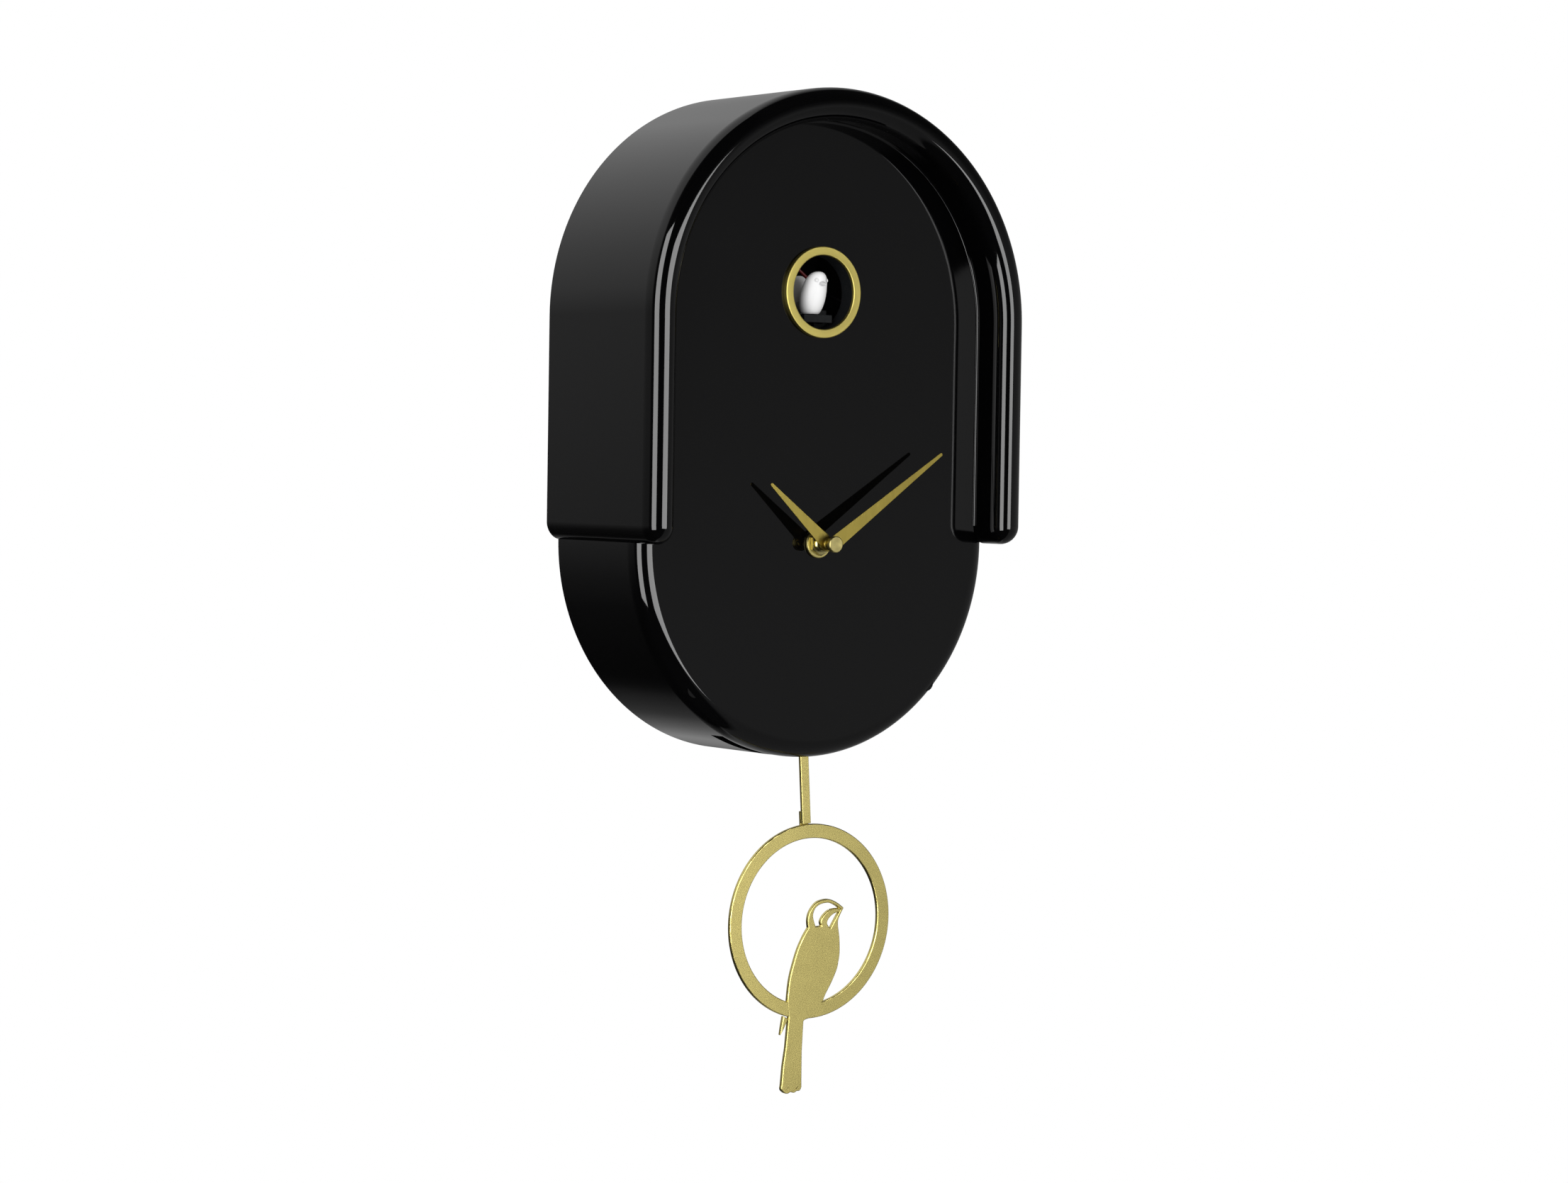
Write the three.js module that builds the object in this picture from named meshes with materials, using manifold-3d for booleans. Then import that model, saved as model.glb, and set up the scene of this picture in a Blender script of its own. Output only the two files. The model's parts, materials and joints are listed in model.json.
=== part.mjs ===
// Pendulum wall clock: gloss black capsule case under an arched hood, with a bird in a round
// window, brass hands and a gold pendulum that carries a ring and a perched bird.
// Millimetres. +Z is up, -Y faces the room, and the wall plane is y = 0.
// The origin is the centre of the case's upper arc, on the back cover's outer face.
import * as THREE from "three";
import { mergeVertices } from "three/addons/utils/BufferGeometryUtils.js";
import Module from "manifold-3d";

const wasm = await Module();
wasm.setup();

// ---- driving dimensions ----
const fitGap = 0.3; // between pieces that sit against each other
const runGap = 0.3; // between a turning or sliding piece and its bearing

const arcDrop = 105.3; // from the upper arc's centre down to the lower arc's centre
const caseRadius = 101.5;
const caseDepth = 68; // wall to dial
const caseWall = 2.5;
const caseEdge = 8.5; // round between the dial and the side

const hoodRadius = caseRadius + 6.5;
const hoodBand = 14.3; // width of the hood's front edge
const hoodProud = 22; // hood's front edge ahead of the dial
const hoodEdge = 6.9; // round of the hood's front edge
const hoodWall = 2.4;

const coverThick = 3;
const screwBossRadius = 4;
const screwRadius = 1.5;
const screwHeadRadius = 2.9;
const screwHeadThick = 1.6;
const pilotRadius = 1.3;

const windowZ = 13; // centre of the bird's round window
const bezelRadius = 21.6;
const bezelBore = 17.4;
const bezelProud = 2.2;
const bezelTubeWall = 1.5;
const bezelTubeDepth = 8;

const slotHalf = 46; // half length of the pendulum slot under the case
const slotWidth = 10;
const slotSetback = 9.5; // from the dial face to the slot

const moveSize = 56; // movement's width and height
const moveDepth = 16.5;
const moveWall = 1.2;

const hubWasherRadius = 6.9;
const hubWasherThick = 1.2;
const nutFlat = 10; // across flats
const nutThick = 2.2;
const bushRadius = 3.9;
const bushLength = 5.5; // ahead of the dial
const pipeRadius = 2.5;
const arborRadius = 1;
const handThick = 0.5;
const handRoot = 7; // a hand's width at the hub
const handTip = 1.6; // and at its tip
const hourReach = 43.4;
const minuteReach = 76.8;
const hourHeight = 8.4; // hand's front face ahead of the dial
const minuteHeight = 13;
const hourAngle = 310.5; // degrees clockwise from twelve
const minuteAngle = 55.7;
const capRadius = 3.85;
const capFront = 15.3; // cap's face ahead of the dial

const pivotDrop = 44.7; // pendulum's pivot below the hub
const swingRest = 3.58; // degrees that the pendulum stands off plumb at rest
const pendulumSetback = 12.4; // pendulum's face behind the dial
const ringRadius = 46.65;
const ringBore = ringRadius - 6.8;
const plateThick = 2.1;
const pendulumReach = 136.4; // pivot to ring centre
const perchScale = ringRadius / 46.65; // the perched bird grows with its ring
const rodWidth = 4.7;
const rodThick = 1.8;
const hookReach = 22; // pivot to the hook pin

const trayHalf = 8; // half width of the bird's sliding tray
const trayThick = 3.5;
const trayTop = 2.5;
const trayFront = caseDepth - 2.4; // tray's front edge, from the wall
const trayLength = 36;
const pinionTeeth = 12;
const pinionModule = 1;

const cellRadius = 7.1;
const cellLength = 49.5;
const cellPitch = 15.2;

// ---- derived places ----
const dialY = -caseDepth;
const innerY = dialY + caseWall; // inside face of the dial wall
const hubZ = -arcDrop;
const pivotZ = hubZ - pivotDrop;
const hoodInner = hoodRadius - hoodBand;
const coverRadius = caseRadius - caseWall - fitGap;
const pendulumY = dialY + pendulumSetback; // pendulum plate's front face
const trayBottom = trayTop - trayThick;

const finishes = {
  glossBlack: { color: 0x0b0b0d, roughness: 0.08, metalness: 0 },
  mattBlack: { color: 0x17171a, roughness: 0.55, metalness: 0 },
  gold: { color: 0xd6c66e, roughness: 0.25, metalness: 1 },
  brass: { color: 0xcdb35a, roughness: 0.3, metalness: 1 },
  steel: { color: 0xb4b6b9, roughness: 0.35, metalness: 1 },
  white: { color: 0xf1f1ef, roughness: 0.45, metalness: 0 },
  grey: { color: 0x6c6f73, roughness: 0.5, metalness: 0 },
  copper: { color: 0xa8592c, roughness: 0.4, metalness: 1 },
  board: { color: 0x1c5a35, roughness: 0.5, metalness: 0 },
  cell: { color: 0x2f3d57, roughness: 0.35, metalness: 0.2 },
  redWire: { color: 0xb01818, roughness: 0.5, metalness: 0 },
  blackWire: { color: 0x101012, roughness: 0.5, metalness: 0 },
};

// ---- solids ----
function solid(geometry) {
  const bare = geometry.index ? geometry.toNonIndexed() : geometry.clone();
  bare.deleteAttribute("normal");
  bare.deleteAttribute("uv");
  const merged = mergeVertices(bare, 1e-4);
  const index = merged.index.array;
  const kept = [];
  for (let i = 0; i < index.length; i += 3) {
    const [a, b, c] = [index[i], index[i + 1], index[i + 2]];
    if (a !== b && b !== c && c !== a) kept.push(a, b, c);
  }
  const build = (triangles) =>
    new wasm.Manifold(
      new wasm.Mesh({
        numProp: 3,
        vertProperties: merged.attributes.position.array,
        triVerts: new Uint32Array(triangles),
      }),
    );
  const made = build(kept);
  return made.volume() < 0 ? build(kept.reverse()) : made;
}

function geometryOf(shape) {
  const mesh = shape.getMesh();
  const geometry = new THREE.BufferGeometry();
  geometry.setAttribute("position", new THREE.BufferAttribute(mesh.vertProperties, 3));
  geometry.setIndex(new THREE.BufferAttribute(mesh.triVerts, 1));
  geometry.computeVertexNormals();
  return geometry;
}

function block(x0, x1, y0, y1, z0, z1) {
  const box = new THREE.BoxGeometry(x1 - x0, y1 - y0, z1 - z0);
  return solid(box.translate((x0 + x1) / 2, (y0 + y1) / 2, (z0 + z1) / 2));
}

// A round bar along Y from y0 to y1, centred on x, z.
function bar(radius, y0, y1, x = 0, z = 0, sides = 24) {
  const geometry = new THREE.CylinderGeometry(radius, radius, Math.abs(y1 - y0), sides);
  return solid(geometry.translate(x, (y0 + y1) / 2, z));
}

// A round bar along X from x0 to x1, centred on y, z.
function crossBar(radius, x0, x1, y, z, sides = 24) {
  const geometry = new THREE.CylinderGeometry(radius, radius, x1 - x0, sides);
  return solid(geometry.rotateZ(Math.PI / 2).translate((x0 + x1) / 2, y, z));
}

// A flat outline in x, z, given thickness from y = back forward to y = front. An edge rounds
// the front corner, and the matching round at the back is cut away.
function plate(outline, back, front, edge = 0, rounds = 4) {
  const geometry = new THREE.ExtrudeGeometry(outline, {
    depth: back - front - edge,
    curveSegments: 6,
    bevelEnabled: edge > 0,
    bevelThickness: edge,
    bevelSize: edge,
    bevelOffset: -edge,
    bevelSegments: rounds,
  });
  const whole = solid(geometry.rotateX(Math.PI / 2).translate(0, back, 0));
  if (!edge) return whole;
  const reach = 2 * hoodRadius + arcDrop;
  return whole.subtract(block(-reach, reach, back, back + 2 * edge, -reach, reach));
}

// A profile of [radius, y] points turned about the Y axis through x, z.
function turned(profile, x = 0, z = 0, sides = 48) {
  const points = profile.map(([radius, y]) => new THREE.Vector2(radius, y));
  points.push(points[0].clone());
  return solid(new THREE.LatheGeometry(points, sides).translate(x, 0, z));
}

function joined(...pieces) {
  return pieces.reduce((sum, piece) => sum.add(piece));
}

function without(body, ...cuts) {
  return cuts.reduce((rest, cut) => rest.subtract(cut), body);
}

// ---- outlines ----
function rectangle(x0, x1, z0, z1) {
  const outline = new THREE.Shape();
  outline.moveTo(x0, z0);
  outline.lineTo(x1, z0);
  outline.lineTo(x1, z1);
  outline.lineTo(x0, z1);
  outline.closePath();
  return outline;
}

function arc(x, z, radius, from, to, steps) {
  return Array.from({ length: steps + 1 }, (_, i) => {
    const angle = from + ((to - from) * i) / steps;
    return new THREE.Vector2(x + radius * Math.cos(angle), z + radius * Math.sin(angle));
  });
}

function circle(radius, steps) {
  return new THREE.Shape(arc(0, 0, radius, 0, 2 * Math.PI, steps).slice(1));
}

// The case's capsule outline: two half circles joined by straight sides.
function capsule(radius) {
  return new THREE.Shape([
    ...arc(0, 0, radius, 0, Math.PI, 48),
    ...arc(0, -arcDrop, radius, Math.PI, 2 * Math.PI, 48),
  ]);
}

// The hood's arch: a band with two straight legs and rounded ends.
function arch(outer, inner) {
  const middle = (outer + inner) / 2;
  const endRadius = (outer - inner) / 2;
  const endZ = -arcDrop + hoodBand / 2;
  return new THREE.Shape([
    ...arc(0, 0, outer, 0, Math.PI, 48),
    ...arc(-middle, endZ, endRadius, Math.PI, 2 * Math.PI, 10),
    ...arc(0, 0, inner, Math.PI, 0, 48),
    ...arc(middle, endZ, endRadius, Math.PI, 2 * Math.PI, 10),
  ]);
}

// Straight-flanked teeth, slim enough to run with play. A tooth points along the phase angle.
function gear(teeth, module, phase = 0) {
  const pitchRadius = (teeth * module) / 2;
  const rootRadius = pitchRadius - module;
  const tipRadius = pitchRadius + 0.75 * module;
  const pitchAngle = (2 * Math.PI) / teeth;
  const outline = new THREE.Shape();
  for (let tooth = 0; tooth < teeth; tooth++) {
    const middle = phase + tooth * pitchAngle;
    const corners = [
      [rootRadius, -0.24],
      [tipRadius, -0.1],
      [tipRadius, 0.1],
      [rootRadius, 0.24],
    ];
    corners.forEach(([radius, share], corner) => {
      const angle = middle + share * pitchAngle;
      const [x, z] = [radius * Math.cos(angle), radius * Math.sin(angle)];
      if (tooth === 0 && corner === 0) outline.moveTo(x, z);
      else outline.lineTo(x, z);
    });
  }
  outline.closePath();
  return outline;
}

const clock = new THREE.Group();

function add(name, shape, finish, group = clock) {
  const mesh = new THREE.Mesh(geometryOf(shape), new THREE.MeshStandardMaterial(finish));
  mesh.name = name;
  group.add(mesh);
}

// ---- case ----
const bossRing = caseRadius - caseWall - screwBossRadius + 0.3;
const bossPlaces = [
  ...[45, 135].map((angle) => [angle, 0]),
  ...[225, 315].map((angle) => [angle, hubZ]),
  ...[0, 180].map((angle) => [angle, hubZ / 2]),
].map(([angle, z]) => [
  bossRing * Math.cos((angle * Math.PI) / 180),
  z + bossRing * Math.sin((angle * Math.PI) / 180),
]);
const bossTop = -coverThick - fitGap;
const frameBossX = 19;
const frameBossZ = -16;
const framePlateY = innerY + 8; // front face of the bird frame's flange
const hoodScrewPlaces = [40, 140].map((angle) => [angle, 0]).concat([[0, -70], [180, -70]]);
const hoodScrewY = dialY + 20;
const slotFront = dialY + slotSetback;

// A round bar that stands out radially from the case's upper centre line.
function spoke(radius, from, to, [angle, z], sides = 12) {
  const geometry = new THREE.CylinderGeometry(radius, radius, to - from, sides);
  geometry.rotateZ(-Math.PI / 2).translate((from + to) / 2, 0, 0);
  geometry.rotateY((-angle * Math.PI) / 180);
  return solid(geometry.translate(0, hoodScrewY, z));
}

function makeCase() {
  const shell = plate(capsule(caseRadius), 0, dialY, caseEdge).subtract(
    plate(capsule(caseRadius - caseWall), 1, innerY, caseEdge - caseWall, 2),
  );
  const bosses = bossPlaces.map(([x, z]) => bar(screwBossRadius, bossTop, innerY - 1, x, z, 16));
  const frameBosses = [-1, 1].map((side) =>
    bar(3, framePlateY - fitGap, innerY - 1, side * frameBossX, frameBossZ, 12),
  );
  const pilots = bossPlaces.map(([x, z]) => bar(pilotRadius, bossTop + 1, bossTop - 16, x, z, 12));
  const framePilots = [-1, 1].map((side) =>
    bar(pilotRadius, framePlateY, innerY + 1, side * frameBossX, frameBossZ, 12),
  );
  const solidCase = joined(shell, ...bosses, ...frameBosses);
  const slotDepth = caseRadius - Math.sqrt(caseRadius ** 2 - slotHalf ** 2) + 3 * caseWall;
  return without(
    solidCase,
    ...pilots,
    ...framePilots,
    bar(bezelBore + bezelTubeWall + fitGap, dialY - 1, innerY + 1, 0, windowZ, 48),
    bar(bushRadius + fitGap, dialY - 1, innerY + 1, 0, hubZ, 24),
    block(-slotHalf, slotHalf, slotFront, slotFront + slotWidth, hubZ - caseRadius - 1,
      hubZ - caseRadius + slotDepth),
    ...hoodScrewPlaces.map((place) =>
      spoke(screwRadius + fitGap, caseRadius - 11.5, caseRadius + 2.5, place),
    ),
  );
}

function makeHood() {
  const outer = plate(arch(hoodRadius, hoodInner), 0, dialY - hoodProud, hoodEdge);
  const channel = plate(
    arch(hoodRadius - hoodWall, hoodInner + hoodWall),
    1,
    dialY - hoodProud + hoodWall,
    hoodEdge - hoodWall,
    2,
  );
  const shell = outer.subtract(channel);
  const bosses = hoodScrewPlaces.map((place) =>
    spoke(3.2, caseRadius - 1, hoodRadius - hoodWall / 2, place),
  );
  return without(
    joined(shell, ...bosses),
    plate(capsule(caseRadius + fitGap), 1, dialY - fitGap, caseEdge + fitGap),
    ...hoodScrewPlaces.map((place) =>
      spoke(pilotRadius, caseRadius - 1.5, hoodRadius - hoodWall, place),
    ),
  );
}

add("case_body", makeCase(), finishes.glossBlack);
add("hood", makeHood(), finishes.glossBlack);

// ---- back cover and what it carries ----
const doorHalf = 31;
const doorLow = 18;
const doorHigh = doorLow + 3 * cellPitch + 6;
const viewHalf = 34; // half width of the opening behind the movement
const viewLow = hubZ - moveSize / 2 - 4;
const viewHigh = hubZ + moveSize / 2 + 4;
const hangerZ = 84;
const speakerX = 42;
const speakerZ = -32;
const speakerRadius = 20;
const volumeX = -38;
const volumeZ = -32;
const volumeTravel = 3;
const rivetX = 10;

function makeCover() {
  const outline = capsule(coverRadius);
  outline.holes.push(
    rectangle(-doorHalf, doorHalf, doorLow, doorHigh),
    rectangle(-viewHalf, viewHalf, viewLow, viewHigh),
    rectangle(volumeX - 8, volumeX + 8, volumeZ - 3.5, volumeZ + 3.5),
    rectangle(-6, 6, hangerZ - 10, hangerZ + 7),
  );
  for (let column = -2; column <= 2; column++) {
    const x = speakerX + column * 6;
    const half = Math.sqrt((speakerRadius - 4) ** 2 - (column * 6) ** 2);
    outline.holes.push(rectangle(x - 1.2, x + 1.2, speakerZ - half, speakerZ + half));
  }
  return without(
    plate(outline, 0, -coverThick),
    ...bossPlaces.map(([x, z]) => bar(screwRadius + fitGap, 1, -coverThick - 1, x, z, 16)),
    ...bossPlaces.map(([x, z]) =>
      bar(screwHeadRadius + fitGap, 1, -screwHeadThick - 0.2, x, z, 16),
    ),
    ...[-1, 1].map((side) => bar(1.7, 1, -coverThick - 1, side * rivetX, hangerZ - 2, 12)),
  );
}

function makeScrew(x, z, head, tip) {
  const slot = block(x - 2, x + 2, head - 0.7, head + 1, z - 0.4, z + 0.4);
  return joined(
    bar(screwHeadRadius, head, head - screwHeadThick, x, z, 16),
    bar(pilotRadius - 0.1, head - screwHeadThick + 0.2, tip, x, z, 12),
  ).subtract(slot);
}

function makeHangerPlate() {
  const front = -coverThick - fitGap;
  const body = block(-14, 14, front - 1.3, front, hangerZ - 12, hangerZ + 9);
  const rivets = [-1, 1].map((side) => bar(1.4, front - 0.5, -0.2, side * rivetX, hangerZ - 2, 12));
  return without(
    joined(body, ...rivets),
    bar(4.5, front - 2, front + 1, 0, hangerZ - 5, 20),
    block(-2.1, 2.1, front - 2, front + 1, hangerZ - 5, hangerZ + 3),
    bar(2.1, front - 2, front + 1, 0, hangerZ + 3, 16),
  );
}

add("back_cover", makeCover(), finishes.mattBlack);
add("hanger_plate", makeHangerPlate(), finishes.steel);
bossPlaces.forEach(([x, z], i) => {
  add(`cover_screw_${i + 1}`, makeScrew(x, z, -0.1, bossTop - 11), finishes.steel);
});
hoodScrewPlaces.forEach((place, i) => {
  const screw = joined(
    spoke(screwHeadRadius, caseRadius - caseWall - 2, caseRadius - caseWall - 0.3, place),
    spoke(pilotRadius - 0.1, caseRadius - caseWall - 1, hoodRadius - hoodWall - 1, place),
  );
  add(`hood_screw_${i + 1}`, screw, finishes.steel);
});

const trayBackY = -coverThick - fitGap;
const cellY = trayBackY - cellRadius - 1;
const cellRows = [0, 1, 2].map((row) => doorLow + 3 + cellPitch * (row + 0.5));

function makeBatteryTray() {
  const deep = cellY - cellRadius - 2;
  const box = block(-doorHalf, doorHalf, deep, trayBackY, doorLow - 1, doorHigh + 1);
  const bay = block(
    -doorHalf + 1.5, doorHalf - 1.5, deep + 1.5, trayBackY + 1, doorLow + 0.5, doorHigh - 0.5,
  );
  const wireHole = block(-doorHalf - 1, -doorHalf + 3, deep + 3, deep + 7, doorLow + 3, doorLow + 8);
  const ribs = [0, 1].map((gap) => {
    const z = (cellRows[gap] + cellRows[gap + 1]) / 2;
    return block(-doorHalf + 1, doorHalf - 1, deep + 1, deep + 6, z - 0.4, z + 0.4);
  });
  return joined(box.subtract(bay), ...ribs).subtract(wireHole);
}

function makeCell(x, y, z, way) {
  const nub = crossBar(2.6, x - 0.5, x + cellLength / 2 + 0.8, y, z, 12);
  const can = crossBar(cellRadius, x - cellLength / 2, x + cellLength / 2, y, z, 24);
  const cell = can.add(nub);
  return way > 0 ? cell : cell.mirror([1, 0, 0]);
}

// A door plate with two finger ridges, which lifts straight out of the cover.
function makeDoor() {
  const inset = fitGap;
  const panel = block(
    -doorHalf + inset, doorHalf - inset, -coverThick + 0.6, -0.2, doorLow + inset, doorHigh - inset,
  );
  const grips = [0, 1, 2].map((row) =>
    block(-10, 10, -0.7, 1, doorHigh - 8 - row * 3, doorHigh - 7 - row * 3),
  );
  return without(panel, ...grips);
}

// A conical spring, cut short to its end plate and coils as one turned stack.
function makeContact(x, y, z, side) {
  const leaf = crossBar(4.2, Math.min(x, x + side * 0.4), Math.max(x, x + side * 0.4), y, z, 12);
  const cone = crossBar(2, Math.min(x, x + side * 1.4), Math.max(x, x + side * 1.4), y, z, 12);
  return leaf.add(cone);
}

add("battery_tray", makeBatteryTray(), finishes.mattBlack);
cellRows.forEach((z, row) => {
  add(`battery_cell_${row + 1}`, makeCell(0, cellY, z, row % 2 ? -1 : 1), finishes.cell);
});
cellRows.forEach((z, row) => {
  const side = row % 2 ? -1 : 1;
  const wall = side * (doorHalf - 1.5 - fitGap);
  add(`cell_contact_${row + 1}`, makeContact(wall, cellY, z, -side), finishes.steel);
});
add("battery_door", makeDoor(), finishes.mattBlack);

function makeSpeaker() {
  const back = trayBackY;
  return turned(
    [
      [0, back - 5],
      [speakerRadius - 5, back - 1.5],
      [speakerRadius - 2, back],
      [speakerRadius, back],
      [speakerRadius, back - 2],
      [10, back - 8],
      [10, back - 13],
      [0, back - 13],
    ],
    speakerX, speakerZ, 32,
  );
}

const boardY = -10; // board's rear face
const boardBox = [-64, -4, -50, -16];
function makeBoard() {
  const [x0, x1, z0, z1] = boardBox;
  const parts = [
    block(-58, -48, boardY - 4, boardY - 1, -46, -36),
    block(-24, -10, boardY - 3, boardY - 1, -34, -24),
    bar(3, boardY - 9, boardY - 1, -14, -42, 12),
    block(volumeX - 6, volumeX + 6, boardY - 1, boardY + 3.5, volumeZ - 3, volumeZ + 3),
  ];
  return joined(block(x0, x1, boardY - 1.6, boardY, z0, z1), ...parts);
}

function makeVolumeKnob() {
  const low = boardY + 3.5 + runGap;
  return joined(
    block(volumeX - 2, volumeX + 2, low, -0.4, volumeZ - 2, volumeZ + 2),
    block(volumeX - 3, volumeX + 3, low, low + 1.2, volumeZ - 2.5, volumeZ + 2.5),
  );
}

add("speaker", makeSpeaker(), finishes.grey);
add("circuit_board", makeBoard(), finishes.board);
add("volume_knob", makeVolumeKnob(), finishes.mattBlack);

// ---- bird window ----
const tubeRadius = bezelBore + bezelTubeWall;
add(
  "bird_bezel",
  turned(
    [
      [bezelBore, dialY - bezelProud],
      [bezelRadius - 0.5, dialY - bezelProud],
      [bezelRadius, dialY - bezelProud + 0.5],
      [bezelRadius, dialY - fitGap],
      [tubeRadius, dialY - fitGap],
      [tubeRadius, dialY + bezelTubeDepth],
      [bezelBore, dialY + bezelTubeDepth],
    ],
    0, windowZ,
  ),
  finishes.gold,
);

const birdY = dialY + 6.4;

function ball(radiusX, radiusY, radiusZ, x, y, z) {
  const geometry = new THREE.SphereGeometry(1, 14, 9).rotateX(Math.PI / 2);
  return solid(geometry.scale(radiusX, radiusY, radiusZ).translate(x, y, z));
}

function makeBird() {
  const base = trayTop + fitGap;
  const body = ball(6.4, 6.6, 8.6, 0, birdY, base + 7.4);
  const head = ball(5.7, 5.7, 5.7, 0, birdY - 3.6, base + 14.4);
  const beak = new THREE.ConeGeometry(1.5, 3.2, 8).rotateX(Math.PI / 2);
  const tail = ball(4.2, 2, 8.5, 0, birdY + 11, base + 9.5);
  const back = ball(3.4, 7, 3, 0, birdY + 6, base + 5);
  const feet = bar(3.4, birdY - 3.4, birdY + 3.4, 0, base + 2.5, 12);
  const whole = joined(
    body, head, tail, back, feet,
    solid(beak.rotateX(Math.PI).translate(0, birdY - 10.2, base + 12.9)),
  );
  return whole.subtract(block(-20, 20, birdY - 20, birdY + 20, base - 10, base));
}

const rackTop = trayBottom;
const pinionRadius = (pinionTeeth * pinionModule) / 2;
const rackPitchZ = rackTop - 1.2 * pinionModule;
const pinionZ = rackPitchZ - pinionRadius;
const pinionY = -47;

function makeTray() {
  const front = -trayFront;
  const back = front + trayLength;
  const pitch = Math.PI * pinionModule;
  const tipZ = rackPitchZ - 0.75 * pinionModule;
  const teeth = [];
  for (let y = pinionY - 1.5 * pitch; y < back - pitch / 2; y += pitch) {
    const rack = new THREE.Shape();
    rack.moveTo(y + 0.24 * pitch, rackTop + 0.2);
    rack.lineTo(y + 0.1 * pitch, tipZ);
    rack.lineTo(y - 0.1 * pitch, tipZ);
    rack.lineTo(y - 0.24 * pitch, rackTop + 0.2);
    rack.closePath();
    const tooth = new THREE.ExtrudeGeometry(rack, { depth: 5, bevelEnabled: false });
    tooth.rotateX(Math.PI / 2).rotateZ(Math.PI / 2).translate(-2.5, 0, 0);
    teeth.push(solid(tooth));
  }
  return joined(block(-trayHalf, trayHalf, front, back, trayBottom, trayTop), ...teeth);
}

// The guide is a sleeve round the tray's rear half, on a flange that is screwed to the case.
function makeFrame() {
  const sleeveFront = framePlateY;
  const sleeveBack = sleeveFront + 26;
  const wall = 2.5;
  const gap = runGap;
  const sleeve = without(
    block(
      -trayHalf - wall, trayHalf + wall, sleeveFront, sleeveBack,
      trayBottom - wall, trayTop + wall,
    ),
    block(
      -trayHalf - gap, trayHalf + gap, sleeveFront - 1, sleeveBack + 1,
      trayBottom - gap, trayTop + gap,
    ),
    block(-3.5, 3.5, sleeveFront - 1, sleeveBack + 1, trayBottom - wall - 1, trayBottom),
    block(-5, 5, sleeveFront - 1, sleeveFront + 16, trayTop, trayTop + wall + 1),
  );
  const flange = without(
    block(-23, 23, sleeveFront, sleeveFront + 2.5, -21, trayBottom - gap),
    block(-3.5, 3.5, sleeveFront - 1, sleeveFront + 4, -18, trayBottom + 1),
    ...[-1, 1].map((side) =>
      bar(screwRadius + fitGap, sleeveFront - 1, sleeveFront + 4, side * frameBossX, frameBossZ, 12),
    ),
  );
  const cheek = without(
    block(4.5, 7, sleeveFront, sleeveBack, pinionZ - 8, trayBottom - gap),
    crossBar(2.2, 4, 8, pinionY, pinionZ, 16),
  );
  return joined(sleeve, flange, cheek);
}

function makePinion() {
  const wheel = plate(gear(pinionTeeth, pinionModule, Math.PI / 2), 2.5, -2.5).rotate([0, 0, 90]);
  const shaft = crossBar(1.5, -3.2, 6, 0, 0, 12);
  return wheel.add(shaft).translate([0, pinionY, pinionZ]);
}

function makeMotor() {
  const start = 7 + fitGap;
  const gearbox = block(start, start + 8, pinionY - 7, pinionY + 8, pinionZ - 7, pinionZ + 4);
  const can = crossBar(6.5, start + 7, start + 27, pinionY, pinionZ, 20);
  const socket = crossBar(1.9, start - 1, start + 3, pinionY, pinionZ, 12);
  return joined(gearbox, can).subtract(socket);
}

add("bird", makeBird(), finishes.white);
add("bird_tray", makeTray(), finishes.mattBlack);
add("bird_frame", makeFrame(), finishes.mattBlack);
add("bird_pinion", makePinion(), finishes.white);
add("bird_motor", makeMotor(), finishes.steel);
[-1, 1].forEach((side, i) => {
  const head = framePlateY + 2.5 + fitGap + screwHeadThick;
  const screw = makeScrew(side * frameBossX, frameBossZ, head, innerY + 2);
  add(`bird_frame_screw_${i + 1}`, screw, finishes.steel);
});

// ---- movement ----
const moveFront = innerY + fitGap;
const moveBack = moveFront + moveDepth;
const moveHalf = moveSize / 2;
const bayTop = -11.2; // battery bay's top, below the hub
const minutePinionTeeth = 10;
const motionTeeth = 30;
const motionPinionTeeth = 9;
const hourTeeth = 36;
const centreTeeth = 36;
const thirdPinionTeeth = 8;
const thirdTeeth = 32;
const fineModule = 0.4;
const coarseModule = 0.45;
const motionX = (-(minutePinionTeeth + motionTeeth) * coarseModule) / 2;
const thirdX = ((centreTeeth + thirdPinionTeeth) * fineModule) / 2;
const wheelThick = 1.1;
const layer = (order) => moveFront + moveWall + 0.4 + order * (wheelThick + 0.5);
const backPlateY = moveBack - 0.3; // back plate's rear face

function wheel(teeth, module, order, x, phase) {
  return plate(gear(teeth, module, phase), layer(order) + wheelThick, layer(order)).translate([
    x, 0, hubZ,
  ]);
}

function makeMovementCase() {
  const box = block(-moveHalf, moveHalf, moveFront, moveBack, hubZ - moveHalf, hubZ + moveHalf);
  const gearRoom = block(
    -moveHalf + moveWall, moveHalf - moveWall, moveFront + moveWall, moveBack + 1,
    hubZ + bayTop + moveWall, hubZ + moveHalf - moveWall,
  );
  const bay = block(
    -moveHalf + moveWall, moveHalf - moveWall, moveFront + moveWall, moveBack + 1,
    hubZ - moveHalf + moveWall, hubZ + bayTop,
  );
  return without(box, gearRoom, bay, bar(bushRadius - 0.6, moveFront - 1, moveFront + 3, 0, hubZ));
}

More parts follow.
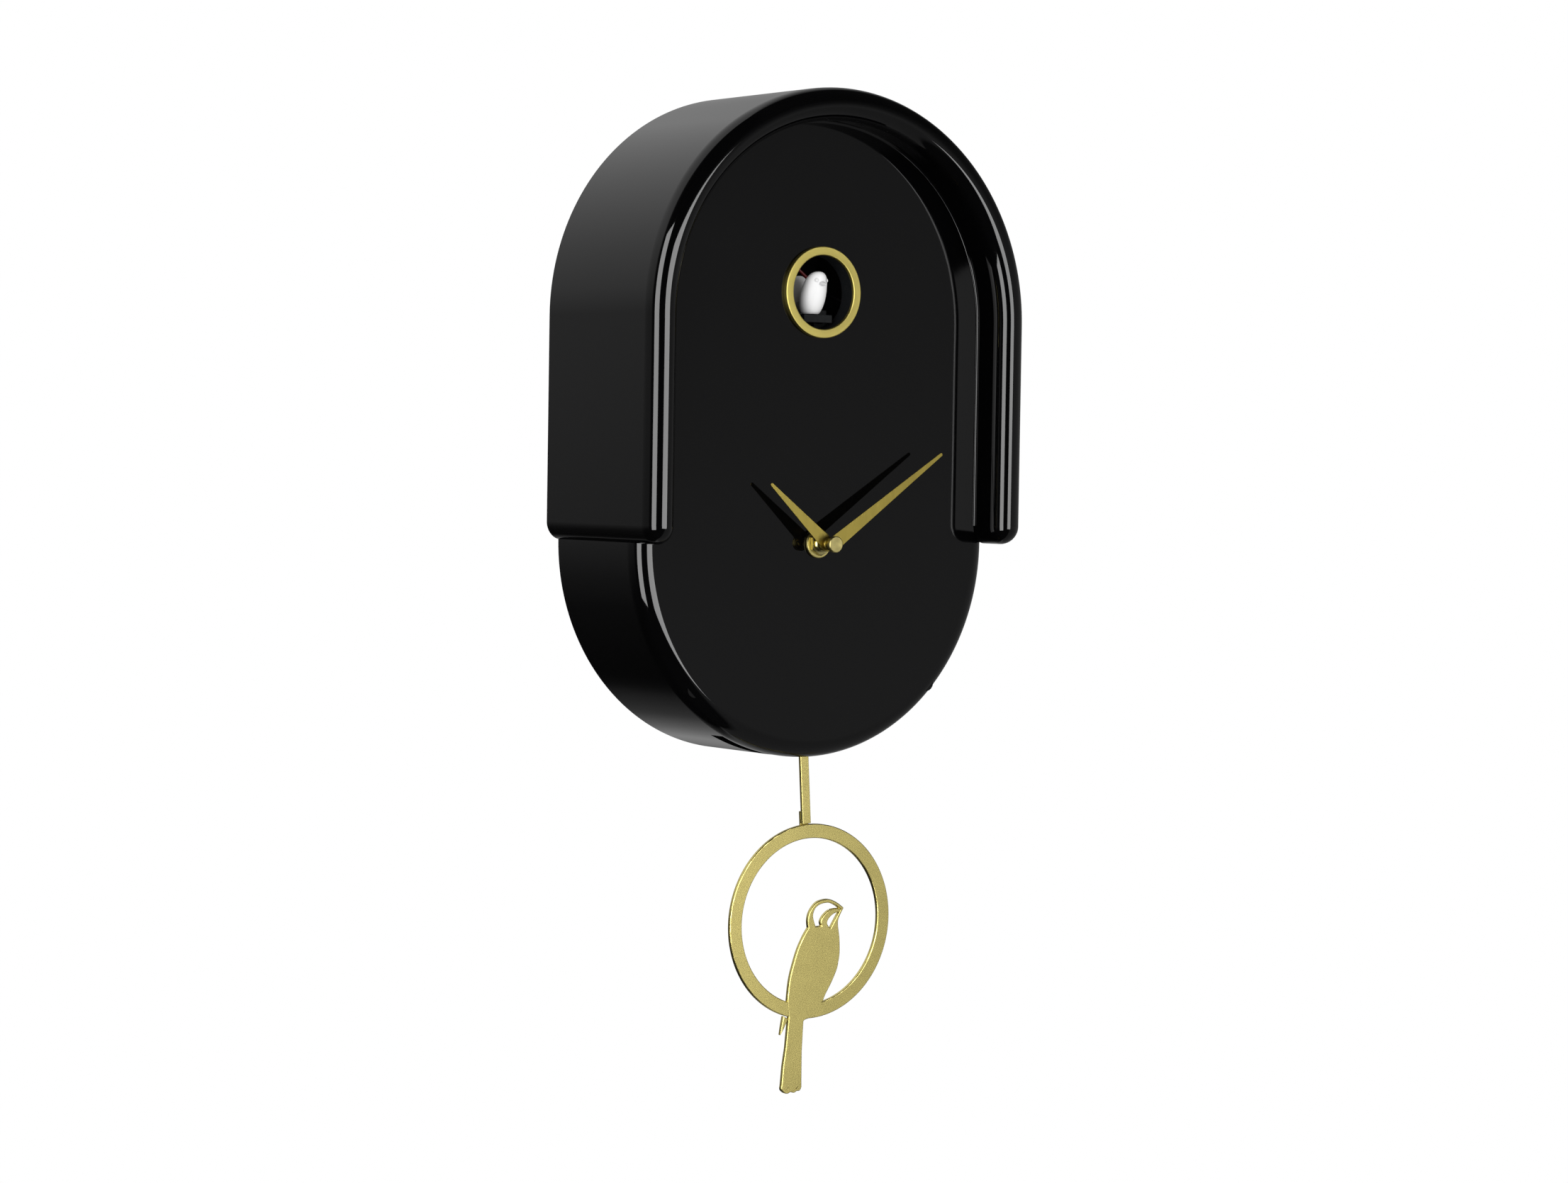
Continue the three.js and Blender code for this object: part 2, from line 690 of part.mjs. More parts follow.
function makeBackPlate() {
  const panel = block(
    -moveHalf + moveWall + fitGap, moveHalf - moveWall - fitGap, backPlateY - 1.2, backPlateY,
    hubZ + bayTop + moveWall + fitGap, hubZ + moveHalf - moveWall - fitGap,
  );
  const bearing = bar(2, backPlateY - 5, backPlateY - 1, 0, hubZ, 12);
  return without(
    panel.add(bearing),
    bar(arborRadius + runGap, backPlateY - 6, backPlateY - 2, 0, hubZ, 12),
    bar(arborRadius + runGap, backPlateY - 2, backPlateY + 1, motionX, hubZ, 12),
    block(-20, 20, backPlateY - 0.5, backPlateY + 1, hubZ + 16, hubZ + 22),
  );
}

const bushFront = dialY - bushLength;
add("movement_case", makeMovementCase(), finishes.mattBlack);
add("movement_back", makeBackPlate(), finishes.mattBlack);
add(
  "threaded_bush",
  turned(
    [
      [pipeRadius + runGap, moveFront - 0.1],
      [pipeRadius + runGap, bushFront],
      [bushRadius - 0.4, bushFront],
      [bushRadius, bushFront + 0.4],
      [bushRadius, moveFront - 0.1],
    ],
    0, hubZ, 24,
  ),
  finishes.brass,
);
const washerFront = dialY - fitGap - hubWasherThick;
add(
  "dial_washer",
  bar(hubWasherRadius, dialY - fitGap, washerFront, 0, hubZ, 32).subtract(
    bar(bushRadius + 0.1, dialY + 1, washerFront - 1, 0, hubZ, 24),
  ),
  finishes.brass,
);
const nutBack = washerFront - 0.1;
add(
  "hex_nut",
  bar(nutFlat / Math.sqrt(3), nutBack, nutBack - nutThick, 0, hubZ, 6).subtract(
    bar(bushRadius + 0.1, dialY + 1, nutBack - nutThick - 1, 0, hubZ, 24),
  ),
  finishes.brass,
);

const hourFace = dialY - hourHeight;
const minuteFace = dialY - minuteHeight;
const capFace = dialY - capFront;
const pipeFront = hourFace - 0.3;
add(
  "hour_wheel",
  wheel(hourTeeth, fineModule, 0, 0, Math.PI)
    .add(bar(pipeRadius, layer(0) + wheelThick, pipeFront, 0, hubZ, 20))
    .subtract(bar(arborRadius + runGap, layer(0) + 3, pipeFront - 1, 0, hubZ, 16)),
  finishes.brass,
);
add(
  "minute_arbor",
  joined(
    bar(arborRadius, backPlateY - 2.4, capFace + 0.6, 0, hubZ, 16),
    wheel(minutePinionTeeth, coarseModule, 1, 0, Math.PI),
    wheel(centreTeeth, fineModule, 2, 0, 0),
  ),
  finishes.brass,
);
add(
  "motion_wheel",
  joined(
    bar(arborRadius, layer(0) - 0.1, moveBack + 3, motionX, hubZ, 12),
    wheel(motionTeeth, coarseModule, 1, motionX, Math.PI / motionTeeth),
    wheel(motionPinionTeeth, fineModule, 0, motionX, Math.PI / motionPinionTeeth),
  ),
  finishes.white,
);
add(
  "third_wheel",
  joined(
    bar(0.8, layer(0) - 0.1, backPlateY - 1.5, thirdX, hubZ, 12),
    wheel(thirdPinionTeeth, fineModule, 2, thirdX, Math.PI + Math.PI / thirdPinionTeeth),
    wheel(thirdTeeth, fineModule, 3, thirdX, 0),
  ),
  finishes.white,
);
add(
  "set_knob",
  joined(bar(5.5, moveBack + 0.6, moveBack + 5, motionX, hubZ, 20)).subtract(
    bar(arborRadius + 0.05, moveBack, moveBack + 3.4, motionX, hubZ, 12),
  ),
  finishes.mattBlack,
);
add(
  "stepper_coil",
  joined(
    block(-18, 18, layer(1), layer(1) + 3, hubZ + 11, hubZ + 14),
    block(-18, -15, layer(1), layer(1) + 3, hubZ + 11, hubZ + 24),
    block(15, 18, layer(1), layer(1) + 3, hubZ + 11, hubZ + 24),
    crossBar(3.2, -15.5, 15.5, layer(1) + 1.5, hubZ + 21, 16),
  ),
  finishes.copper,
);
const bayMiddle = hubZ + (bayTop - moveHalf + moveWall) / 2;
add(
  "movement_cell",
  makeCell(0, moveFront + moveWall + fitGap + cellRadius, bayMiddle, 1),
  finishes.cell,
);

// ---- hands ----
// A tapered blade with round ends, which points up from the hub before its group is turned.
function makeBlade(reach, face, bore) {
  const tip = handTip / 2;
  const outline = new THREE.Shape([
    ...arc(0, 0, handRoot / 2, Math.PI, 2 * Math.PI, 16),
    ...arc(0, reach - tip, tip, 0, Math.PI, 8),
  ]);
  return plate(outline, face + handThick, face).subtract(bar(bore, face + 2, face - 1));
}

function turnedHand(angle) {
  const group = new THREE.Group();
  group.position.set(0, 0, hubZ);
  group.rotation.y = (angle * Math.PI) / 180;
  clock.add(group);
  return group;
}

const collarGap = 0.05;
const hourCollar = bar(3.3, hourFace + 2.6, hourFace + handThick - 0.1).subtract(
  bar(pipeRadius + collarGap, hourFace + 4, hourFace - 1),
);
add(
  "hour_hand",
  makeBlade(hourReach, hourFace, pipeRadius + collarGap).add(hourCollar),
  finishes.gold,
  turnedHand(hourAngle),
);
const minuteCollar = bar(2.9, pipeFront - runGap, minuteFace + handThick - 0.1).subtract(
  bar(arborRadius + collarGap, pipeFront + 1, minuteFace - 1),
);
add(
  "minute_hand",
  makeBlade(minuteReach, minuteFace, arborRadius + collarGap).add(minuteCollar),
  finishes.gold,
  turnedHand(minuteAngle),
);
add(
  "cap_nut",
  turned(
    [
      [0, capFace],
      [capRadius - 0.3, capFace],
      [capRadius, capFace + 0.3],
      [capRadius, minuteFace - 0.1],
      [arborRadius + collarGap, minuteFace - 0.1],
      [arborRadius + collarGap, capFace + 0.55],
      [0, capFace + 0.55],
    ],
    0, hubZ, 32,
  ),
  finishes.brass,
);

// ---- pendulum drive ----
const leverThick = 5;
const leverY = pendulumY + plateThick / 2; // lever's middle plane
const driveTop = pivotZ + pivotDrop - moveHalf - 1;
const driveHalf = 18;
const driveBack = leverY + 6.5;

function makeDriveBracket() {
  const low = pivotZ - 17;
  const front = block(-driveHalf, driveHalf, moveFront, moveFront + 1.8, low, driveTop);
  const roof = block(-driveHalf, driveHalf, moveFront, driveBack, driveTop - 1.8, driveTop);
  const rear = block(-6, 6, driveBack - 1.8, driveBack, pivotZ - 5, driveTop);
  const spacers = [
    bar(2.4, moveFront + 1, leverY - leverThick / 2 - runGap, 0, pivotZ, 16),
    bar(2.4, leverY + leverThick / 2 + runGap, driveBack - 1, 0, pivotZ, 16),
  ];
  const pin = bar(1 + fitGap, moveFront + 0.6, driveBack + 1, 0, pivotZ, 16);
  return joined(front, roof, rear, ...spacers).subtract(pin);
}

add("pendulum_bracket", makeDriveBracket(), finishes.mattBlack);
add("pivot_pin", bar(1, moveFront + 0.9, driveBack - 0.1, 0, pivotZ, 16), finishes.steel);
add(
  "drive_coil",
  bar(6.5, moveFront + 1.8 + fitGap, moveFront + 5.6, 0, pivotZ - 12, 20).subtract(
    bar(2, moveFront, moveFront + 7, 0, pivotZ - 12, 12),
  ),
  finishes.copper,
);

// ---- pendulum, drawn hanging plumb from its pivot and then swung as one group ----
const pendulum = new THREE.Group();
pendulum.position.set(0, 0, pivotZ);
pendulum.rotation.y = (-swingRest * Math.PI) / 180;
clock.add(pendulum);

const rodFace = pendulumY + (plateThick - rodThick) / 2;
const magnetZ = -12;
function makeLever() {
  const front = leverY - leverThick / 2;
  const back = leverY + leverThick / 2;
  const cheekGap = rodThick / 2 + runGap;
  const arm = joined(
    bar(4, back, front, 0, 0, 20),
    block(-4, 4, front, back, -hookReach - 3, 0),
    bar(5, back, front, 0, magnetZ, 20),
  );
  return without(
    arm,
    bar(1 + runGap, front - 1, back + 1, 0, 0, 16),
    bar(4 + fitGap, front - 1, front + 2.3, 0, magnetZ, 20),
    block(-5, 5, leverY - cheekGap, leverY + cheekGap, -hookReach - 5, -hookReach + 5),
  ).add(bar(1.2, front + 0.5, back - 0.5, 0, -hookReach, 12));
}

function makeRod() {
  const top = -hookReach + 3.2;
  const foot = -(pendulumReach - ringRadius - fitGap);
  const half = rodWidth / 2;
  const back = rodFace + rodThick;
  const strip = block(-half, half, rodFace, back, foot, top);
  const eye = bar(3, back, rodFace, 0, -hookReach, 16);
  const hookHole = bar(1.2 + runGap, rodFace - 1, back + 1, 0, -hookReach, 16);
  const mouth = block(0, 4, rodFace - 1, back + 1, -hookReach - 1.2, -hookReach + 1.2);
  // a tongue laps behind the ring's top and is soldered there
  const tongueFace = pendulumY + plateThick + fitGap;
  const tongue = joined(
    block(-half, half, back - 0.2, tongueFace + 1, foot, foot + 6),
    block(-half, half, tongueFace, tongueFace + 1, foot - 5, foot + 1),
  );
  return joined(strip, eye, tongue).subtract(joined(hookHole, mouth));
}

// The ring with its perched bird is stamped from one plate. Its outlines are drawn about the
// ring's centre.
function makeRing() {
  const band = circle(ringRadius, 80);
  band.holes.push(circle(ringBore, 80));

  const body = new THREE.Shape();
  const vectors = (points) => points.map(([x, z]) => new THREE.Vector2(x, z));
  body.moveTo(-1.2, -3.1);
  const crown = [[-1.4, 0.9], [0.2, 5], [3.9, 8.5], [8, 9.5], [12, 9.1], [16.2, 7.1], [19.9, 4.1]];
  const breast = [[17.6, 1], [16.3, -3.7], [16.9, -11], [15.7, -21.4], [11.1, -31], [5.6, -39.3]];
  body.splineThru(vectors(crown));
  body.splineThru(vectors(breast));
  body.lineTo(-2.8, -46.2);
  body.quadraticCurveTo(-5.8, -46.8, -6.1, -49.5);
  body.lineTo(-7.7, -61.7);
  body.lineTo(-8.6, -78.9);
  body.quadraticCurveTo(-8.9, -80.9, -11.5, -80.5);
  body.quadraticCurveTo(-13.2, -81.6, -15.2, -80.5);
  body.quadraticCurveTo(-17, -81.7, -18.7, -80.5);
  body.quadraticCurveTo(-20.9, -80.2, -20.4, -77);
  body.lineTo(-18.7, -67.3);
  body.lineTo(-16.8, -58.9);
  body.lineTo(-14.6, -44.5);
  body.lineTo(-15, -36.4);
  body.splineThru(vectors([[-12.8, -25], [-7.9, -12.7], [-4.2, -6.7], [-1.2, -3.1]]));

  const spur = new THREE.Shape();
  spur.moveTo(-17.8, -42.5);
  spur.lineTo(-20.2, -51.8);
  spur.quadraticCurveTo(-19.8, -53.4, -19, -52.2);
  spur.lineTo(-15, -44.4);
  spur.closePath();

  const crescent = new THREE.Shape();
  crescent.moveTo(3, -2.9);
  const browLine = [[1.7, 1.9], [2.9, 5.4], [5.6, 7.2], [9.2, 7.7], [12.2, 7.3], [17.2, 4.2]];
  crescent.splineThru(vectors(browLine));
  crescent.splineThru(vectors([[14.5, 4.6], [11.2, 4], [7.9, 1.9], [6, -0.8], [6.3, -3]]));
  crescent.closePath();

  const throat = new THREE.Shape();
  throat.moveTo(17.1, 2.6);
  throat.splineThru(vectors([[13.8, 1.9], [11, 0.1], [9.8, -1.9], [10.5, -3.6], [11.7, -4.7]]));
  throat.closePath();

  const back = pendulumY + plateThick;
  const through = (outline) => plate(outline, back + 1, pendulumY - 1);
  const perched = without(
    joined(plate(body, back, pendulumY), plate(spur, back, pendulumY)),
    through(crescent),
    through(throat),
    bar(0.5, back + 1, pendulumY - 1, 12, 3.9, 8),
  ).scale([perchScale, 1, perchScale]);
  return joined(plate(band, back, pendulumY), perched).translate([0, 0, -pendulumReach]);
}

add("pendulum_lever", makeLever(), finishes.mattBlack, pendulum);
add(
  "lever_magnet",
  bar(4, leverY - leverThick / 2 + 2, leverY - leverThick / 2 + 0.1, 0, magnetZ, 20),
  finishes.steel,
  pendulum,
);
add("pendulum_rod", makeRod(), finishes.gold, pendulum);
add("pendulum_ring", makeRing(), finishes.gold, pendulum);

// ---- wires, each held at both ends inside the case ----
function wire(name, points, finish) {
  const path = new THREE.CatmullRomCurve3(points.map(([x, y, z]) => new THREE.Vector3(x, y, z)));
  const section = circle(0.7, 8);
  const steps = Math.ceil(path.getLength() / 4);
  const geometry = new THREE.ExtrudeGeometry(section, {
    steps, extrudePath: path, bevelEnabled: false,
  });
  add(name, solid(geometry), finish);
}

const trayWireY = cellY - cellRadius + 3;
wire(
  "battery_wire_red",
  [[-32, trayWireY, 24], [-40, trayWireY, 18], [-50, -15, 0], [-54, -13, -30], [-52, -15.5, -34]],
  finishes.redWire,
);
wire(
  "battery_wire_black",
  [[-32, trayWireY, 27], [-44, trayWireY, 20], [-57, -16, 0], [-60, -13.5, -26], [-58, -14, -33]],
  finishes.blackWire,
);
wire(
  "motor_wire_red",
  [
    [36.5, pinionY, pinionZ + 2], [34, -43, 8], [20, -40.5, 15], [9, -40, 23], [1, -39.5, 28.5],
    [-12, -38, 25], [-26, -30, 0], [-30, -16, -20], [-28, -13.5, -28],
  ],
  finishes.redWire,
);
wire(
  "speaker_wire",
  [
    [speakerX - 8, -18, speakerZ], [24, -20, speakerZ - 4], [6, -18, speakerZ - 2],
    [-4, -16, -30], [-8, -14, -30],
  ],
  finishes.blackWire,
);

export default clock;
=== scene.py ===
import bpy
import bmesh
import json
import math
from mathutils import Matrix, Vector


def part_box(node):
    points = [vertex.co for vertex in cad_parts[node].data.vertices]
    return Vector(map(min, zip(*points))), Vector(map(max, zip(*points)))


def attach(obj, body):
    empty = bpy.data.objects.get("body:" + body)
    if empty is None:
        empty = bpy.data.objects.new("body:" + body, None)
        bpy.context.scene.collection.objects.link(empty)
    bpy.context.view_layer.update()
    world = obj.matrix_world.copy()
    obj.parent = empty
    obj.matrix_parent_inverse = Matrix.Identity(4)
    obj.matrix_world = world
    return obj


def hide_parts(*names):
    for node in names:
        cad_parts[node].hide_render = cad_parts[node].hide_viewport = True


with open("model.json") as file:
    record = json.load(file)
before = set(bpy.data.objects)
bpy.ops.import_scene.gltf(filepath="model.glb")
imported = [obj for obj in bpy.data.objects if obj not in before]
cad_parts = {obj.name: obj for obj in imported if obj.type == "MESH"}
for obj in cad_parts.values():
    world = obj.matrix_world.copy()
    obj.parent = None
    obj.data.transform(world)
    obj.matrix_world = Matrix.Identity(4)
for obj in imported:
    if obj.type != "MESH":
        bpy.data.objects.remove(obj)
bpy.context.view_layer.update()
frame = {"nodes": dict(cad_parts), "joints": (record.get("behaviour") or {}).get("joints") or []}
scene = bpy.context.scene
tools = scene.tool_settings
mm = 0.001
onPlane = 1e-6  # how close to a plane counts as on it
replaced = set()  # nodes that a finished piece stands for
print("frame loaded,", len(frame["nodes"]), "nodes")


def nodeBox(node):
    # a node's lowest and highest corners, cleared of rounding noise
    return [[round(value, 6) for value in corner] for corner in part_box(node)]


def spanOf(node):
    # a node's half width, front and back, in mm
    low, high = nodeBox(node)
    return [round(value / mm, 3) for value in ((high[0] - low[0]) / 2, low[1], high[1])]


def deselect():
    bpy.ops.object.select_all(action="DESELECT")


def activate(piece):
    deselect()
    piece.select_set(True)
    bpy.context.view_layer.objects.active = piece


def edit(piece):
    activate(piece)
    bpy.ops.object.mode_set(mode="EDIT")


def leave():
    bpy.ops.object.mode_set(mode="OBJECT")


def pick(piece, kind, test):
    # kind is verts, edges or faces; test is given each one's middle and its normal
    mesh = bmesh.from_edit_mesh(piece.data)
    tools.mesh_select_mode = (kind == "verts", kind == "edges", kind == "faces")
    for part in list(mesh.verts) + list(mesh.edges) + list(mesh.faces):
        part.select = False
    for part in getattr(mesh, kind):
        if kind == "verts":
            chosen = test(part.co, part.normal)
        elif kind == "edges":
            chosen = all(test(v.co, v.normal) for v in part.verts)
        else:
            chosen = test(part.calc_center_median(), part.normal)
        if chosen:
            part.select_set(True)
    mesh.select_flush_mode()
    bmesh.update_edit_mesh(piece.data)


def pickAll():
    bpy.ops.mesh.select_all(action="SELECT")


def push(move, **more):
    bpy.ops.transform.translate(value=move, **more)


def pull(move):
    bpy.ops.mesh.extrude_region_move(TRANSFORM_OT_translate={"value": move})


def stretch(factor, middle):
    bpy.ops.transform.resize(value=factor, center_override=middle)


def settle(piece):
    activate(piece)
    bpy.ops.object.transform_apply(location=True, rotation=True, scale=True)


def modify(piece, kind, **values):
    activate(piece)
    modifier = piece.modifiers.new(kind.lower(), kind)
    for key, value in values.items():
        setattr(modifier, key, value)
    bpy.ops.object.modifier_apply(modifier=modifier.name)


def tidyMesh(piece, gap=1e-6):
    edit(piece)
    pickAll()
    bpy.ops.mesh.remove_doubles(threshold=gap)
    bpy.ops.mesh.normals_make_consistent(inside=False)
    leave()


def smooth(piece, angle=35, weighted=True):
    activate(piece)
    bpy.ops.object.shade_smooth_by_angle(angle=math.radians(angle))
    if weighted:
        edit(piece)
        pick(piece, "faces", lambda p, n: abs(n.y) > 0.9995)
        bpy.ops.mesh.faces_shade_flat()  # the plane faces stay plane up to their rounded edges
        leave()
        modify(piece, "WEIGHTED_NORMAL", keep_sharp=True, weight=50)


def soften(piece, width, segments=3, angle=40):
    modify(
        piece, "BEVEL", width=width, segments=segments, limit_method="ANGLE",
        angle_limit=math.radians(angle), use_clamp_overlap=True,
    )


def boolean(piece, cutter, operation="DIFFERENCE"):
    modify(piece, "BOOLEAN", object=cutter, operation=operation, solver="EXACT")
    bpy.data.objects.remove(cutter, do_unlink=True)


def joinAll(pieces):
    deselect()
    for piece in pieces:
        piece.select_set(True)
    bpy.context.view_layer.objects.active = pieces[0]
    if len(pieces) > 1:
        bpy.ops.object.join()
    return pieces[0]


def rod(radius, start, end, sides=48):
    # a round bar from one point to the other
    start, end = Vector(start), Vector(end)
    deselect()
    bpy.ops.mesh.primitive_cylinder_add(
        vertices=sides, radius=radius, depth=(end - start).length, location=(start + end) / 2,
        rotation=(end - start).to_track_quat("Z", "Y").to_euler(),
    )
    piece = bpy.context.object
    settle(piece)
    return piece


def box(low, high):
    low, high = Vector(low), Vector(high)
    deselect()
    bpy.ops.mesh.primitive_cube_add(size=1, location=(low + high) / 2, scale=high - low)
    piece = bpy.context.object
    settle(piece)
    return piece


def drawLine(points, closed=False):
    # one vertex pulled from point to point
    deselect()
    bpy.ops.mesh.primitive_plane_add(size=mm, location=(0, 0, 0))
    piece = bpy.context.object
    edit(piece)
    tools.mesh_select_mode = (True, False, False)
    pickAll()
    bpy.ops.mesh.merge(type="CENTER")
    push(points[0])
    for last, point in zip(points, points[1:]):
        pull(Vector(point) - Vector(last))
    if closed:
        pull(Vector(points[0]) - Vector(points[-1]))
        pickAll()
        bpy.ops.mesh.remove_doubles(threshold=1e-7)
    return piece


def turn(profile, centre, steps=96):
    # a closed profile of (radius, y) turned about the Y axis through centre
    x, z = centre
    piece = drawLine([(x + radius, y, z) for radius, y in profile], closed=True)
    pickAll()
    bpy.ops.mesh.spin(steps=steps, angle=2 * math.pi, center=(x, 0, z), axis=(0, 1, 0))
    leave()
    tidyMesh(piece, 1e-7)
    return piece


def plate(points, front, back):
    # a closed outline of (x, z) with thickness from front to back
    piece = drawLine([(x, front, z) for x, z in points], closed=True)
    pickAll()
    bpy.ops.mesh.edge_face_add()
    pull((0, back - front, 0))
    leave()
    tidyMesh(piece, 1e-8)
    return piece


def arc(x, z, radius, start, end, steps):
    # points round a centre, with start and end in degrees
    angles = [math.radians(start + (end - start) * i / steps) for i in range(steps + 1)]
    return [(x + radius * math.cos(a), z + radius * math.sin(a)) for a in angles]


def through(points, steps=6):
    # a smooth line through the points
    line = []
    for i in range(len(points) - 1):
        a, b = Vector(points[i]), Vector(points[i + 1])
        before = Vector(points[i - 1]) if i else a
        after = Vector(points[i + 2]) if i + 2 < len(points) else b
        slopeA, slopeB = (b - before) / 2, (after - a) / 2
        for s in range(steps):
            t = s / steps
            point = (
                (2 * t**3 - 3 * t**2 + 1) * a + (t**3 - 2 * t**2 + t) * slopeA
                + (3 * t**2 - 2 * t**3) * b + (t**3 - t**2) * slopeB
            )
            line.append(tuple(point))
    line.append(tuple(points[-1]))
    return line


def finishPiece(piece, name, body, slotName, material, *nodes):
    piece.name = name
    piece.data.name = name
    piece.data.materials.clear()
    piece.data.materials.append(material)
    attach(piece, body)
    if nodes:
        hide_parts(*nodes)
        replaced.update(nodes)


def newMaterial(name, color, roughness, metallic=0.0):
    material = bpy.data.materials.new(name)
    material.use_nodes = True
    material.diffuse_color = (*color, 1)
    shader = material.node_tree.nodes["Principled BSDF"]
    shader.inputs["Base Color"].default_value = (*color, 1)
    shader.inputs["Roughness"].default_value = roughness
    shader.inputs["Metallic"].default_value = metallic
    return material, shader


def addNode(material, kind, links=None, **values):
    node = material.node_tree.nodes.new(kind)
    for key, value in values.items():
        if hasattr(node, key):
            setattr(node, key, value)
        else:
            node.inputs[key.replace("_", " ")].default_value = value
    for socket, source in (links or {}).items():
        material.node_tree.links.new(source, node.inputs[socket])
    return node


def placed(material, scale=(1, 1, 1), location=(0, 0, 0), rotation=(0, 0, 0)):
    # object coordinates, centred and turned on a piece
    coordinates = addNode(material, "ShaderNodeTexCoord")
    mapping = addNode(material, "ShaderNodeMapping", {"Vector": coordinates.outputs["Object"]})
    mapping.inputs["Location"].default_value = location
    mapping.inputs["Rotation"].default_value = rotation
    mapping.inputs["Scale"].default_value = scale
    return mapping.outputs["Vector"]


def noise(material, vector, scale, detail=3.0):
    node = addNode(material, "ShaderNodeTexNoise", {"Vector": vector}, Scale=scale, Detail=detail)
    return node.outputs["Fac"]


def ramp(material, fac, low, high, first, last):
    node = addNode(material, "ShaderNodeValToRGB", {"Fac": fac})
    node.color_ramp.elements[0].position = low
    node.color_ramp.elements[1].position = high
    node.color_ramp.elements[0].color = (*first, 1)
    node.color_ramp.elements[1].color = (*last, 1)
    return node.outputs["Color"]


def spread(material, fac, low, high):
    # most of a noise lies between 0.3 and 0.7
    node = addNode(
        material, "ShaderNodeMapRange", {"Value": fac}, From_Min=0.3, From_Max=0.7, To_Min=low,
        To_Max=high,
    )
    return node.outputs["Result"]


def addBump(material, shader, height, distance, before=None):
    node = addNode(material, "ShaderNodeBump", {"Height": height}, Strength=1.0, Distance=distance)
    if before:
        material.node_tree.links.new(before, node.inputs["Normal"])
    material.node_tree.links.new(node.outputs["Normal"], shader.inputs["Normal"])
    return node.outputs["Normal"]


def link(material, source, shader, socket):
    material.node_tree.links.new(source, shader.inputs[socket])


blackGloss = dict(
    color=(0.0006, 0.0006, 0.0007), roughness=(0.03, 0.075), fingers=22,
    polish=0.05, dust=(0.02, 0.02, 0.02), specks=130.0, speckSize=(0.3, 0.34), speckNoise=300,
    ripple=210, rippleHeight=0.004 * mm, wave=60, waveHeight=0.012 * mm,
)


def makeGloss():
    # polished black moulding: long faint ripples, finger marks and a few specks of dust
    g = blackGloss
    material, shader = newMaterial("glossBlackPlastic", g["color"], g["polish"])
    near = placed(material)
    marks = noise(material, near, g["fingers"])
    link(material, spread(material, marks, *g["roughness"]), shader, "Roughness")
    specks = addNode(material, "ShaderNodeTexVoronoi", {"Vector": near}, Scale=g["specks"])
    size = noise(material, near, g["speckNoise"])
    grain = addNode(
        material, "ShaderNodeMath", {0: specks.outputs["Distance"], 1: size}, operation="ADD"
    )
    dust = ramp(material, grain.outputs[0], *g["speckSize"], g["dust"], g["color"])
    link(material, dust, shader, "Base Color")
    ripples = noise(material, near, g["ripple"], 1.0)
    ripple = addBump(material, shader, ripples, g["rippleHeight"])
    waves = noise(material, near, g["wave"], 0.0)
    addBump(material, shader, waves, g["waveHeight"], before=ripple)
    return material


def makeGold(name, color, roughness, grain, bump, streak=(1, 1, 1), rotation=(0, 0, 0)):
    # plated brass: a fine grain that may run one way, and faint uneven tone
    material, shader = newMaterial(name, color, roughness, 1.0)
    fine = placed(material, streak, rotation=rotation)
    grains = noise(material, fine, grain, 4.0)
    rough = spread(material, grains, roughness * 0.92, roughness * 1.1)
    link(material, rough, shader, "Roughness")
    tone = noise(material, placed(material), 90)
    deep = tuple(c * 0.94 for c in color)
    link(material, ramp(material, tone, 0.35, 0.65, deep, color), shader, "Base Color")
    addBump(material, shader, grains, bump)
    return material


def makeTurned(name, color, roughness, centre):
    # lathe rings round a centre of (x, z)
    material, shader = newMaterial(name, color, roughness, 1.0)
    vector = placed(material, location=(-centre[0], 0, -centre[1]))
    flat = addNode(material, "ShaderNodeMapping", {"Vector": vector})
    flat.inputs["Scale"].default_value = (1, 0, 1)
    rings = addNode(
        material, "ShaderNodeTexWave", {"Vector": flat.outputs["Vector"]}, wave_type="RINGS",
        rings_direction="SPHERICAL", Scale=700.0, Distortion=0.6,
    )
    tone = noise(material, vector, 400)
    deep = tuple(c * 0.8 for c in color)
    link(material, ramp(material, tone, 0.3, 0.7, deep, color), shader, "Base Color")
    addBump(material, shader, rings.outputs["Fac"], 0.00001)
    return material


def makeMatt(name, color, roughness=0.5, grain=900.0, bump=0.00004, fade=0.4):
    # moulded plastic with a spark-eroded skin
    material, shader = newMaterial(name, color, roughness)
    near = placed(material)
    skin = noise(material, near, grain, 2.0)
    tone = noise(material, near, 30)
    worn = tuple(min(1, c * (1 + fade)) for c in color)
    link(material, ramp(material, tone, 0.35, 0.7, color, worn), shader, "Base Color")
    link(material, spread(material, skin, roughness * 0.85, roughness * 1.2), shader, "Roughness")
    addBump(material, shader, skin, bump)
    return material


def makeWirePaintedShade(color, sleeve, start):
    # a coloured wire that turns to the second colour past start along X: painted shade where it
    # runs on into the dark behind the bird
    material, shader = newMaterial("redWireShrunk", color, 0.4)
    near = placed(material)
    split = addNode(material, "ShaderNodeSeparateXYZ", {"Vector": near})
    past = addNode(
        material, "ShaderNodeMapRange", {"Value": split.outputs["X"]}, From_Min=start,
        From_Max=start + 0.5 * mm,
    )
    tone = ramp(material, past.outputs["Result"], 0.2, 0.8, color, sleeve)
    link(material, tone, shader, "Base Color")
    link(material, spread(material, noise(material, near, 300), 0.35, 0.5), shader, "Roughness")
    addBump(material, shader, noise(material, near, 600), 0.00001)
    return material


